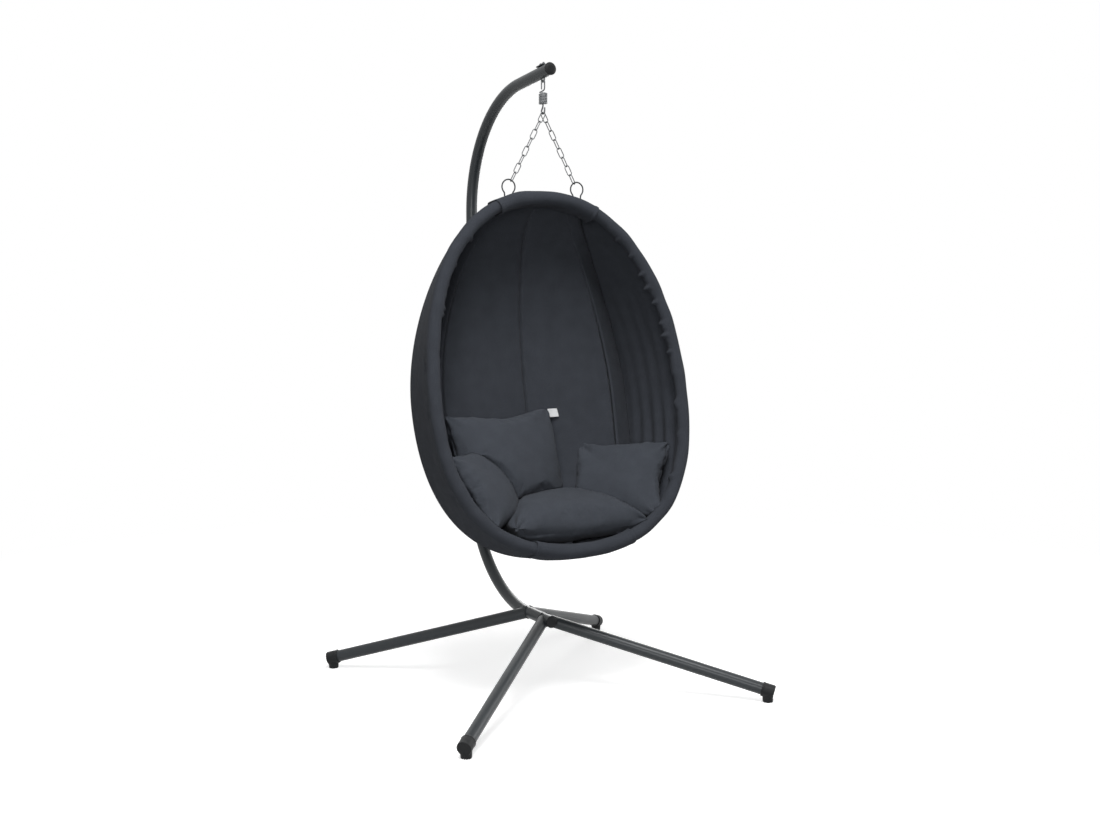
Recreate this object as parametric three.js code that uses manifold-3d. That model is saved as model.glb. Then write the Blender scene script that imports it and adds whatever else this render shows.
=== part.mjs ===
// Hanging egg chair: a C-shaped tube stand on four legs, a sprung hook with two short chains,
// and a padded fabric pod on a steel hoop with two rear ribs and four loose cushions.
// Millimetres, +Z up. The origin is on the floor under the middle of the four feet.
// The chair faces -Y, its left side is -X and the stand's upright is behind the pod.
import * as THREE from "three";
import { mergeVertices } from "three/addons/utils/BufferGeometryUtils.js";
import Module from "manifold-3d";

const wasm = await Module();
wasm.setup();

// Clearances shared by all pieces
const fit_gap = 0.3; // between pieces that touch
const cloth_gap = 0.4; // between a cushion and the cloth or cushion that it rests on
const cut_overrun = 12; // how far a cutting shape runs past what it cuts

// Stand tubes
const tube_radius = 19;
const tube_wall = 1.5;
const pole_foot_height = 220; // axis of the pole's lower end above the floor
const pole_foot_front = 67; // lower end, in front of the origin
const pole_back = 497; // upright's axis, behind the origin
const pole_lower_radius = 404;
const pole_upper_radius = 392;
const pole_bend_height = 1545; // where the upper bend starts
const pole_tip_front = 57; // upper end, in front of the origin
const pole_tip_rise = THREE.MathUtils.degToRad(6); // the last stretch still climbs
const pole_arc_steps = 10;
const tube_sides = 12;

// Plastic plugs in both ends of the pole
const cap_plug_depth = 16;
const cap_rim_radius = 20;
const cap_rim_thickness = 3.5;
const cap_dome_height = 3;

// Legs and their plastic feet
const foot_half_spacing = 520; // feet left and right of the middle
const foot_reach = 514; // feet in front of and behind the middle
const foot_axis_height = 36; // leg axis above the floor at the foot
const leg_past_foot = 18; // leg tube beyond the middle of its foot
const front_leg_root = 20; // front legs meet the pole, in front of the origin
const rear_leg_root = 87; // rear legs meet the pole, behind the origin
const foot_wall = 2.5;
const foot_sleeve_length = 40;
const foot_boss_radius = 18;
const foot_sole_radius = 16;
const foot_slot_count = 4;
const foot_slot_width = 2.4;
const foot_slot_depth = 3;

// Hanging bolt through the pole's tip
const hang_forward = 13; // hanging line, in front of the origin
const bolt_wire_radius = 3;
const bolt_half_spacing = 9;
const bolt_drop = 10; // wire of the bend below the tube
const bolt_thread_stickout = 3;
const saddle_length = 44;
const saddle_width = 24;
const saddle_thickness = 3;
const nut_across_radius = 5.8;
const nut_height = 5;

// Spring with its upper hook
const spring_wire_radius = 2.1;
const spring_coil_radius = 11.7;
const spring_curls = 7;
const spring_curl_gap = 0.5;
const spring_top_drop = 35; // first curl below the hanging bolt's bend
const hook_tail_drop = 22; // free end of the upper hook below the bend
const curl_steps = 8;
const wire_sides = 5;

// Swivel plug and lower hook
const plug_height = 12;
const hook_wire_radius = 2.5;
const hook_bend_radius = 10.3;
const hook_bend_drop = 88.5; // middle of the lower hook's bend below the hanging bolt's bend
const hook_neck_drop = 76; // where the shank leaves the middle line
const hook_tip_rise = 7;
const hook_head_radius = 5;
const hook_head_height = 4;

// Chains
const link_count = 8;
const link_length = 36.6;
const link_width = 18;
const link_wire_radius = 1.5;
const link_steps = 10;

// Rings on top of the pod's hoop
const ring_half_spacing = 122.5;
const ring_radius = 22.75;
const ring_wire_radius = 2.25;
const ring_lift = 48; // middle of the ring above the hoop's axis
const ring_open_turn = THREE.MathUtils.degToRad(53); // where the ring turns into its two feet
const ring_arc_steps = 12;

// Pod frame, in the tilted plane of its front hoop
const pod_tilt = THREE.MathUtils.degToRad(12.7);
const frame_tube_radius = 12.5;
const frame_tube_wall = 1.5;
const frame_tube_sides = 6;
const hoop_half_width = 438;
const hoop_height = 1109;
const hoop_widest_drop = 628; // below the hoop's top
const hoop_top_handle_share = 0.662; // of the half width
const hoop_upper_handle_share = 0.557; // of the drop to the widest place
const hoop_lower_handle_share = 0.584; // of the height below the widest place
const hoop_bottom_handle_share = 0.753; // of the half width
const hoop_quarter_steps = 7;
const rib_half_width = 376;
const rib_depth = 271;
const rib_widest_drop = 615;
const rib_root = 110; // ribs join the hoop this far from the middle, at top and bottom
const rib_top_reach = 103; // how the rib leaves the hoop, sideways
const rib_top_run = 206; // and backwards
const rib_upper_handle = 276;
const rib_lower_handle = 235;
const rib_bottom_reach = 212;
const rib_bottom_run = 197;

// Pod covers
const sleeve_radius = 20;
const sleeve_sides = 10;
const panel_thickness = 2;
const back_depth = 250; // centre seam behind the hoop at its widest place
const back_top_run = 160;
const back_upper_handle = 350;
const back_belly = 12; // centre seam's fullness below the widest place
const back_lower_handle = 180;
const back_bottom_run = 230;
const pocket_seam_share = 0.18; // of the way from the rib to the centre seam
const pocket_seam_forward = 50;
const side_fold_depth = 4;
const side_fold_count = 2;
const panel_trim_share = 0.03; // left off at both ends, inside the sleeves
const cuff_left_end = 162;
const cuff_right_end = 186;
const cuff_thickness = 2.7;
const cuff_run = 34; // behind the hoop, over the roots of the ribs
const cuff_rise = 4; // the rear edge stands off the ribs
const panel_rows = 14;
const side_columns = 6;
const back_columns = 3;
const pocket_column_share = 2 / 3; // where the pocket seam lies in the row from the centre seam to the rib

// Cushions. Places are from the hoop's lowest point: sideways, back and up, level with the floor
const cushion_steps = 10;
const cushion_draw_share = 0.07; // sides drawn in between the corners
const cushion_crown_share = 0.38; // power of the crown's fall to the seams
const seat_crown_share = 0.26; // the seat is stuffed fuller
const seat_width = 466;
const seat_length = 320;
const seat_thickness = 150;
const seat_offset = 12;
const seat_back = 166;
const seat_rise = 88;
const rest_width = 412;
const rest_length = 355;
const rest_thickness = 125;
const rest_offset = -129; // towards the left
const rest_back = 232;
const rest_rise = 238;
const rest_lean = THREE.MathUtils.degToRad(18);
const rest_turn = THREE.MathUtils.degToRad(11);
const arm_width = 290;
const arm_length = 260;
const arm_thickness = 115;
const arm_offset = 236;
const arm_back = 163;
const arm_rise = 183;
const arm_lean = THREE.MathUtils.degToRad(34);
const arm_turn = THREE.MathUtils.degToRad(42);
const label_width = 42;
const label_length = 28;
const label_thickness = 0.8;

// Materials
const paint = { color: 0x3d4348, roughness: 0.42, metalness: 0.55 };
const plastic = { color: 0x1b1c1e, roughness: 0.6, metalness: 0 };
const zinc = { color: 0x9da1a4, roughness: 0.35, metalness: 0.9 };
const dark_steel = { color: 0x4a4e52, roughness: 0.4, metalness: 0.8 };
const cloth = { color: 0x3a4046, roughness: 0.95, metalness: 0 };
const cushion_cloth = { color: 0x454b51, roughness: 0.95, metalness: 0 };
const label_cloth = { color: 0xb9bcc0, roughness: 0.8, metalness: 0 };

const chair = new THREE.Group();

function mesh(parent, name, geometry, look) {
  const piece = new THREE.Mesh(geometry, new THREE.MeshStandardMaterial(look));
  piece.name = name;
  parent.add(piece);
  return piece;
}

function group(parent, x, y, z) {
  const frame = new THREE.Group();
  frame.position.set(x, y, z);
  parent.add(frame);
  return frame;
}

// Boolean work on closed geometries
function solid(geometry) {
  const bare = geometry.clone();
  bare.deleteAttribute("normal");
  bare.deleteAttribute("uv");
  const merged = mergeVertices(bare);
  return new wasm.Manifold(new wasm.Mesh({
    numProp: 3,
    vertProperties: new Float32Array(merged.attributes.position.array),
    triVerts: new Uint32Array(merged.index.array),
  }));
}

function surface_of(body) {
  const skin = body.getMesh();
  const geometry = new THREE.BufferGeometry();
  geometry.setAttribute("position", new THREE.BufferAttribute(new Float32Array(skin.vertProperties), 3));
  geometry.setIndex(new THREE.BufferAttribute(new Uint32Array(skin.triVerts), 1));
  geometry.computeVertexNormals();
  return geometry;
}

// The body without the cutters, and without the waste that the cuts leave
function cut(body, cutters) {
  let left = body;
  for (const cutter of cutters) {
    left = left.subtract(cutter);
  }
  const bodies = left.decompose();
  bodies.sort((a, b) => b.volume() - a.volume());
  return bodies[0];
}

// Round shapes
function polygon(radius, sides) {
  const corners = [];
  for (let i = 0; i < sides; i += 1) {
    const turn = (2 * Math.PI * (i + 0.5)) / sides;
    corners.push(new THREE.Vector2(radius * Math.cos(turn), radius * Math.sin(turn)));
  }
  return corners;
}

// A bore that clears a round piece of the given radius whichever way its sides face
function bore(radius, sides) {
  return new THREE.Path(polygon((radius + fit_gap) / Math.cos(Math.PI / sides), sides));
}

// A path that is followed point by point
class Route extends THREE.Curve {
  constructor(points) {
    super();
    this.points = points;
  }

  getPoint(share) {
    const last = this.points.length - 1;
    const place = THREE.MathUtils.clamp(share, 0, 1) * last;
    const step = Math.min(Math.floor(place), last - 1);
    return this.points[step].clone().lerp(this.points[step + 1], place - step);
  }

  getUtoTmapping(share) {
    return share;
  }
}

function sweep(shape, points) {
  const extrusion = { steps: points.length - 1, extrudePath: new Route(points), bevelEnabled: false };
  return new THREE.ExtrudeGeometry(shape, extrusion);
}

function rod(points, radius, sides) {
  return sweep(new THREE.Shape(polygon(radius, sides)), points);
}

function tube(points, radius, hole, sides) {
  const shape = new THREE.Shape(polygon(radius, sides));
  shape.holes.push(hole);
  return sweep(shape, points);
}

function turned(profile, sides) {
  return new THREE.LatheGeometry(profile.map(([x, y]) => new THREE.Vector2(x, y)), sides).rotateX(Math.PI / 2);
}

// Points of an arc about a centre, between two turns, in the plane of two directions
function arc(centre, radius, from, to, steps, across, up) {
  const points = [];
  for (let i = 0; i <= steps; i += 1) {
    const turn = from + ((to - from) * i) / steps;
    points.push(centre.clone()
      .addScaledVector(across, radius * Math.cos(turn))
      .addScaledVector(up, radius * Math.sin(turn)));
  }
  return points;
}

const axis_x = new THREE.Vector3(1, 0, 0);
const axis_y = new THREE.Vector3(0, 1, 0);
const axis_z = new THREE.Vector3(0, 0, 1);
const right_angle = Math.PI / 2;

// Pole
const upright_turn = right_angle - pole_tip_rise;
const lower_centre = new THREE.Vector3(0, pole_back - pole_lower_radius, pole_foot_height + pole_lower_radius);
const upper_centre = new THREE.Vector3(0, pole_back - pole_upper_radius, pole_bend_height);
const lower_arc = arc(lower_centre, pole_lower_radius, -right_angle, 0, pole_arc_steps, axis_y, axis_z);
const upper_arc = arc(upper_centre, pole_upper_radius, 0, upright_turn, pole_arc_steps, axis_y, axis_z);
const upper_end = upper_arc[upper_arc.length - 1];
const tip_direction = new THREE.Vector3(0, -Math.cos(pole_tip_rise), Math.sin(pole_tip_rise));
const foot_end = new THREE.Vector3(0, -pole_foot_front, pole_foot_height);
const tip_end = on_tip_line(-pole_tip_front);

// The point of the pole's last straight stretch at a given y
function on_tip_line(y) {
  return upper_end.clone().addScaledVector(tip_direction, (y - upper_end.y) / tip_direction.y);
}

const pole_route = [foot_end, ...lower_arc, ...upper_arc, tip_end];
const tube_bore = tube_radius - tube_wall;
const bolt_reach = tube_radius + bolt_drop; // bend of the bolt's wire below the tube's axis
const bolt_seat = on_tip_line(-hang_forward + bolt_reach * Math.sin(pole_tip_rise));
const hang_height = bolt_seat.z - bolt_reach * Math.cos(pole_tip_rise);

// The hanging bolt's pieces stand square to the sloping tip
const bolt_frame = group(chair, 0, bolt_seat.y, bolt_seat.z);
bolt_frame.rotation.x = -pole_tip_rise;
bolt_frame.updateMatrix();

function bolt_hole(side) {
  const hole = new THREE.CylinderGeometry(
    bolt_wire_radius + fit_gap, bolt_wire_radius + fit_gap, 2 * (tube_radius + cut_overrun), curl_steps,
  );
  return hole.rotateX(right_angle).translate(0, side * bolt_half_spacing, 0);
}

const pole_holes = [-1, 1].map((side) => solid(bolt_hole(side).applyMatrix4(bolt_frame.matrix)));
const pole_hollow = new THREE.Path(polygon(tube_bore, tube_sides));
const pole_tube = solid(tube(pole_route, tube_radius, pole_hollow, tube_sides));
mesh(chair, "pole", surface_of(cut(pole_tube, pole_holes)), paint);

function end_cap(name, place, direction) {
  const plug_radius = tube_bore * Math.cos(Math.PI / tube_sides) - fit_gap;
  const rim_top = fit_gap + cap_rim_thickness;
  const profile = [
    [0, -cap_plug_depth],
    [plug_radius, -cap_plug_depth],
    [plug_radius, fit_gap],
    [cap_rim_radius, fit_gap],
    [cap_rim_radius, rim_top],
    [tube_bore, rim_top + cap_dome_height / 2],
    [0, rim_top + cap_dome_height],
  ];
  const cap = mesh(chair, name, turned(profile, tube_sides), plastic);
  cap.position.copy(place);
  cap.quaternion.setFromUnitVectors(axis_z, direction);
}

end_cap("pole_foot_cap", foot_end, new THREE.Vector3(0, -1, 0));
end_cap("pole_tip_cap", tip_end, tip_direction);

// Legs run from the pole's lower stretch down to the feet, and are coped round the pole
function leg(name, side, root_y, foot_y) {
  const root = new THREE.Vector3(0, root_y, pole_foot_height);
  const foot = new THREE.Vector3(side * foot_half_spacing, foot_y, foot_axis_height);
  const along = foot.clone().sub(root).normalize();
  const length = foot.distanceTo(root) + leg_past_foot;
  const frame = group(chair, root.x, root.y, root.z);
  const level = axis_z.clone().cross(along).normalize();
  frame.quaternion.setFromRotationMatrix(new THREE.Matrix4().makeBasis(level, along.clone().cross(level), along));
  frame.updateMatrix();
  const to_frame = frame.matrix.clone().invert();

  const pole_clear = rod(pole_route, tube_radius + fit_gap, tube_sides).applyMatrix4(to_frame);
  const far_half = new THREE.BoxGeometry(foot_half_spacing, 2 * foot_reach, 2 * pole_foot_height);
  far_half.translate(side * (fit_gap - foot_half_spacing / 2), 0, pole_foot_height).applyMatrix4(to_frame);
  const route = [new THREE.Vector3(0, 0, 0), new THREE.Vector3(0, 0, length)];
  const hollow = new THREE.Path(polygon(tube_bore, tube_sides));
  const leg_tube = cut(solid(tube(route, tube_radius, hollow, tube_sides)), [solid(pole_clear), solid(far_half)]);
  mesh(frame, `${name}_leg`, surface_of(leg_tube), paint);

  const sleeve_radius_out = tube_radius + fit_gap + foot_wall;
  const sleeve_end = length + fit_gap + foot_wall;
  const sleeve = rod(
    [new THREE.Vector3(0, 0, sleeve_end - foot_sleeve_length), new THREE.Vector3(0, 0, sleeve_end)],
    sleeve_radius_out, tube_sides,
  );
  const boss_height = foot_axis_height + cut_overrun;
  const boss = new THREE.CylinderGeometry(foot_boss_radius, foot_sole_radius, boss_height, tube_sides);
  boss.translate(0, -boss_height / 2, sleeve_end - foot_boss_radius - foot_wall);
  const under_floor = new THREE.BoxGeometry(4 * foot_half_spacing, 4 * foot_reach, pole_foot_height);
  under_floor.translate(0, 0, -pole_foot_height / 2).applyMatrix4(to_frame);
  const leg_clear = rod(
    [new THREE.Vector3(0, 0, 0), new THREE.Vector3(0, 0, length + fit_gap)],
    (tube_radius + fit_gap) / Math.cos(Math.PI / tube_sides), tube_sides,
  );
  const slots = [];
  for (let i = 0; i < foot_slot_count; i += 1) {
    const share = (i + 1) / (foot_slot_count + 1);
    const slot = new THREE.BoxGeometry(foot_slot_width, 4 * foot_boss_radius, 2 * foot_slot_depth);
    slot.translate((2 * share - 1) * foot_sole_radius, 0, 0);
    slot.rotateZ(Math.atan2(along.y, along.x) + right_angle);
    slot.translate(foot.x, foot.y, 0);
    slots.push(solid(slot.applyMatrix4(to_frame)));
  }
  const foot_body = cut(solid(sleeve).add(solid(boss)), [solid(leg_clear), solid(under_floor), ...slots]);
  mesh(frame, `${name}_foot`, surface_of(foot_body), plastic);
}

leg("front_left", -1, -front_leg_root, -foot_reach);
leg("front_right", 1, -front_leg_root, -foot_reach);
leg("rear_left", -1, rear_leg_root, foot_reach);
leg("rear_right", 1, rear_leg_root, foot_reach);

// Hanging bolt: a U of wire through the tube, with a saddle and two nuts on top
const saddle_bottom = tube_radius + fit_gap;
const nut_bottom = saddle_bottom + saddle_thickness + fit_gap;
const bolt_top = nut_bottom + nut_height + bolt_thread_stickout;
const bend_centre = new THREE.Vector3(0, 0, bolt_half_spacing - bolt_reach);
const bolt_route = [
  new THREE.Vector3(0, bolt_half_spacing, bolt_top),
  ...arc(bend_centre, bolt_half_spacing, 0, -Math.PI, curl_steps, axis_y, axis_z),
  new THREE.Vector3(0, -bolt_half_spacing, bolt_top),
];
mesh(bolt_frame, "hanging_bolt", rod(bolt_route, bolt_wire_radius, curl_steps), zinc);
const saddle = new THREE.BoxGeometry(saddle_width, saddle_length, saddle_thickness);
saddle.translate(0, 0, saddle_bottom + saddle_thickness / 2);
const saddle_body = cut(solid(saddle), [-1, 1].map((side) => solid(bolt_hole(side))));
mesh(bolt_frame, "hanging_saddle", surface_of(saddle_body), paint);
for (const [name, side] of [["front_nut", -1], ["rear_nut", 1]]) {
  const nut_shape = new THREE.Shape(polygon(nut_across_radius, 6));
  nut_shape.holes.push(bore(bolt_wire_radius, curl_steps));
  const nut = new THREE.ExtrudeGeometry(nut_shape, { depth: nut_height, bevelEnabled: false });
  mesh(bolt_frame, name, nut, zinc).position.set(0, side * bolt_half_spacing, nut_bottom);
}

// Spring, hook and chains hang straight down from the bolt's bend
const hanger = group(chair, 0, -hang_forward, hang_height);
const hook_top_radius = bolt_wire_radius + spring_wire_radius + fit_gap;
const curl_pitch = 2 * spring_wire_radius + spring_curl_gap;

function spring_route() {
  const tail = new THREE.Vector3(-hook_top_radius, 0, -hook_tail_drop);
  const over = arc(new THREE.Vector3(0, 0, 0), hook_top_radius, Math.PI, 0, curl_steps, axis_x, axis_z);
  const drop = spring_top_drop - hook_tail_drop;
  const points = [tail, ...over, new THREE.Vector3(hook_top_radius, 0, -hook_tail_drop)];
  // The wire winds out from the hook's line to the coil over the first half turn
  for (let i = 1; i < curl_steps; i += 1) {
    const share = i / curl_steps;
    const turn = Math.PI * share;
    const radius = THREE.MathUtils.lerp(hook_top_radius, spring_coil_radius, share);
    const height = -hook_tail_drop - drop * share;
    points.push(new THREE.Vector3(radius * Math.cos(turn), radius * Math.sin(turn), height));
  }
  for (let i = 0; i <= spring_curls * curl_steps; i += 1) {
    const turn = Math.PI + (2 * Math.PI * i) / curl_steps;
    const height = -spring_top_drop - (curl_pitch * i) / curl_steps;
    const across = spring_coil_radius * Math.cos(turn);
    points.push(new THREE.Vector3(across, spring_coil_radius * Math.sin(turn), height));
  }
  return points;
}

// Least space between stretches of the wire that are more than half a curl apart
function least_gap(points, radius) {
  let least = Infinity;
  for (let i = 0; i < points.length; i += 1) {
    for (let j = i + curl_steps / 2 + 1; j < points.length; j += 1) {
      least = Math.min(least, points[i].distanceTo(points[j]) - 2 * radius);
    }
  }
  return least;
}

const spring_points = spring_route();
console.log("spring least gap", least_gap(spring_points, spring_wire_radius).toFixed(3));
mesh(hanger, "spring", rod(spring_points, spring_wire_radius, wire_sides), zinc);

const coil_bottom = -spring_top_drop - curl_pitch * spring_curls;
const coil_inside = spring_coil_radius * Math.cos(Math.PI / curl_steps) - spring_wire_radius;
const plug_radius = coil_inside - fit_gap;
const plug_shape = new THREE.Shape(polygon(plug_radius, tube_sides));
plug_shape.holes.push(bore(hook_wire_radius, curl_steps));
const plug = new THREE.ExtrudeGeometry(plug_shape, { depth: plug_height, bevelEnabled: false });
mesh(hanger, "swivel_plug", plug, zinc).position.z = coil_bottom;

// Lower hook: a head over the plug, a shank and a bend that opens to the front
const head_bottom = coil_bottom + plug_height + fit_gap;
const hook_head = turned([
  [0, head_bottom], [hook_head_radius, head_bottom],
  [hook_head_radius, head_bottom + hook_head_height], [0, head_bottom + hook_head_height],
], curl_steps);
const hook_centre = new THREE.Vector3(0, 0, -hook_bend_drop);
const hook_route = [
  new THREE.Vector3(0, 0, head_bottom + hook_head_height / 2),
  new THREE.Vector3(0, 0, -hook_neck_drop),
  ...arc(hook_centre, hook_bend_radius, 0, -Math.PI, curl_steps, axis_y, axis_z),
  new THREE.Vector3(0, -hook_bend_radius, hook_tip_rise - hook_bend_drop),
];
const hook_body = solid(rod(hook_route, hook_wire_radius, curl_steps)).add(solid(hook_head));
mesh(hanger, "lower_hook", surface_of(hook_body), zinc);

// Chains: each link is a ring drawn out to its length
const link_bar_radius = link_width / 2 - link_wire_radius;
const link_bar_length = link_length - 2 * link_wire_radius; // between the wires of both ends
const link_step = link_bar_length - 2 * link_wire_radius - fit_gap;
const first_bar = hook_wire_radius + link_wire_radius + fit_gap; // above the hook's wire
const last_bar = ring_wire_radius + link_wire_radius + fit_gap; // below the ring's wire
const chain_length = link_bar_length + (link_count - 1) * link_step - first_bar - last_bar;
const chain_top = -hook_bend_drop - hook_bend_radius;
const chain_lean = Math.asin(ring_half_spacing / (ring_radius + chain_length));
const ring_centre_drop = (ring_radius + chain_length) * Math.cos(chain_lean) - chain_top;

function chain_link(turn) {
  const link = new THREE.TorusGeometry(link_bar_radius, link_wire_radius, wire_sides, link_steps);
  link.rotateZ(Math.PI / link_steps);
  const place = link.attributes.position;
  for (let i = 0; i < place.count; i += 1) {
    place.setY(i, place.getY(i) + Math.sign(place.getY(i)) * (link_bar_length / 2 - link_bar_radius));
  }
  return link.rotateX(right_angle).rotateZ(turn);
}

for (const [name, side] of [["left", -1], ["right", 1]]) {
  const beside = side * (link_wire_radius + fit_gap / 2);
  const bend_rise = hook_bend_radius - Math.sqrt(hook_bend_radius ** 2 - beside ** 2);
  const top = new THREE.Vector3(0, beside, chain_top + bend_rise);
  const ring_x = side * (ring_half_spacing - ring_radius * Math.sin(chain_lean));
  const bottom = new THREE.Vector3(ring_x, 0, ring_radius * Math.cos(chain_lean) - ring_centre_drop);
  const up = top.clone().sub(bottom).normalize();
  const across = axis_y.clone().cross(up).normalize();
  const chain = group(hanger, top.x, top.y, top.z);
  chain.quaternion.setFromRotationMatrix(new THREE.Matrix4().makeBasis(across, up.clone().cross(across), up));
  for (let i = 0; i < link_count; i += 1) {
    const link = mesh(chain, `${name}_link_${i + 1}`, chain_link((i % 2) * right_angle), zinc);
    link.position.z = first_bar - link_bar_length / 2 - i * link_step;
  }
}

// Pod curves, in the hoop's plane: x to the side, depth behind the plane, drop below the top
function pod_point(x, depth, drop) {
  return new THREE.Vector3(x, depth, -drop);
}

const hoop_below_widest = hoop_height - hoop_widest_drop;
const hoop_upper = new THREE.CubicBezierCurve3(
  pod_point(0, 0, 0),
  pod_point(hoop_top_handle_share * hoop_half_width, 0, 0),
  pod_point(hoop_half_width, 0, hoop_widest_drop * (1 - hoop_upper_handle_share)),
  pod_point(hoop_half_width, 0, hoop_widest_drop),
);
const hoop_lower = new THREE.CubicBezierCurve3(
  pod_point(hoop_half_width, 0, hoop_widest_drop),
  pod_point(hoop_half_width, 0, hoop_widest_drop + hoop_lower_handle_share * hoop_below_widest),
  pod_point(hoop_bottom_handle_share * hoop_half_width, 0, hoop_height),
  pod_point(0, 0, hoop_height),
);

// Two curves end to end, the first for the upper half of the way and the second for the lower
function along(upper, lower, share) {
  return share < 0.5 ? upper.getPoint(2 * share) : lower.getPoint(2 * share - 1);
}

// The place on the hoop's upper or lower curve that lies x from the middle, as a share of the way
function hoop_share_at(x, lower) {
  let near = lower ? 1 : 0;
  let far = 0.5;
  for (let i = 0; i < 40; i += 1) {
    const middle = (near + far) / 2;
    if (along(hoop_upper, hoop_lower, middle).x < x) {
      near = middle;
    } else {
      far = middle;
    }
  }
  return near;
}

function mirrored(point, side) {
  return new THREE.Vector3(side * point.x, point.y, point.z);
}

function hoop_at(share, side) {
  return mirrored(along(hoop_upper, hoop_lower, share), side);
}

// Half of the hoop from top to bottom, with level ends that stop short of the middle line, or run past it
function hoop_route(side, short_by) {
  const steps = 2 * hoop_quarter_steps;
  const points = [
    pod_point(side * short_by, 0, 0),
    pod_point(side * cut_overrun, 0, 0),
  ];
  for (let i = 1; i < steps; i += 1) {
    points.push(hoop_at(i / steps, side));
  }
  points.push(pod_point(side * cut_overrun, 0, hoop_height));
  points.push(pod_point(side * short_by, 0, hoop_height));
  return points;
}

const root_top_share = hoop_share_at(rib_root, false);
const root_bottom_share = hoop_share_at(rib_root, true);
const rib_top = hoop_at(root_top_share, 1);
const rib_bottom = hoop_at(root_bottom_share, 1);
const rib_widest = pod_point(rib_half_width, rib_depth, rib_widest_drop);
const rib_upper = new THREE.CubicBezierCurve3(
  rib_top,
  rib_top.clone().add(pod_point(rib_top_reach, rib_top_run, 0)),
  rib_widest.clone().sub(pod_point(0, 0, rib_upper_handle)),
  rib_widest,
);
const rib_lower = new THREE.CubicBezierCurve3(
  rib_widest,
  rib_widest.clone().add(pod_point(0, 0, rib_lower_handle)),
  rib_bottom.clone().add(pod_point(rib_bottom_reach, rib_bottom_run, 0)),
  rib_bottom,
);

function rib_at(share, side) {
  return mirrored(along(rib_upper, rib_lower, share), side);
}

function rib_route(side) {
  const steps = 2 * hoop_quarter_steps;
  return Array.from({ length: steps + 1 }, (_, i) => rib_at(i / steps, side));
}

// Centre seam of the back, from the hoop's top to its bottom
const back_widest = pod_point(0, back_depth, rib_widest_drop);
const back_upper = new THREE.CubicBezierCurve3(
  pod_point(0, 0, 0),
  pod_point(0, back_top_run, 0),
  back_widest.clone().sub(pod_point(0, 0, back_upper_handle)),
  back_widest,
);
const back_lower = new THREE.CubicBezierCurve3(
  back_widest,
  back_widest.clone().add(pod_point(0, back_belly, back_lower_handle)),
  pod_point(0, back_bottom_run, hoop_height),
  pod_point(0, 0, hoop_height),
);

// Pod frame of steel tube, placed so that the rings hang from the chains
const ring_share = hoop_share_at(ring_half_spacing, false);
const ring_foot = hoop_at(ring_share, 1);
const pod = group(
  hanger, 0, -ring_foot.z * Math.sin(pod_tilt),
  -ring_centre_drop - ring_lift - ring_foot.z * Math.cos(pod_tilt),
);
pod.rotation.x = -pod_tilt;
const pod_up = new THREE.Vector3(0, -Math.sin(pod_tilt), Math.cos(pod_tilt));

const frame_clear = frame_tube_radius + fit_gap;
const frame_hollow_radius = frame_tube_radius - frame_tube_wall;
const sleeve_clear = (sleeve_radius + fit_gap) / Math.cos(Math.PI / sleeve_sides);

function fat_hoop(side, radius, sides) {
  return solid(rod(hoop_route(side, -cut_overrun), radius, sides));
}

function fat_rib(side, radius, sides) {
  return solid(rod(rib_route(side), radius, sides));
}

function ring_route(side) {
  const foot = mirrored(ring_foot, side);
  const centre = foot.clone().addScaledVector(pod_up, ring_lift);
  const turn_in = -ring_open_turn;
  const ring = arc(centre, ring_radius, turn_in, Math.PI + ring_open_turn, ring_arc_steps, axis_x, pod_up);
  const leg_length = ring_lift - ring_radius * Math.sin(ring_open_turn);
  const first = ring[0].clone().addScaledVector(pod_up, -leg_length);
  const last = ring[ring.length - 1].clone().addScaledVector(pod_up, -leg_length);
  return [first, ...ring, last];
}

function fat_ring(side) {
  const radius = (ring_wire_radius + fit_gap) / Math.cos(Math.PI / wire_sides);
  return solid(rod(ring_route(side), radius, wire_sides));
}

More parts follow.
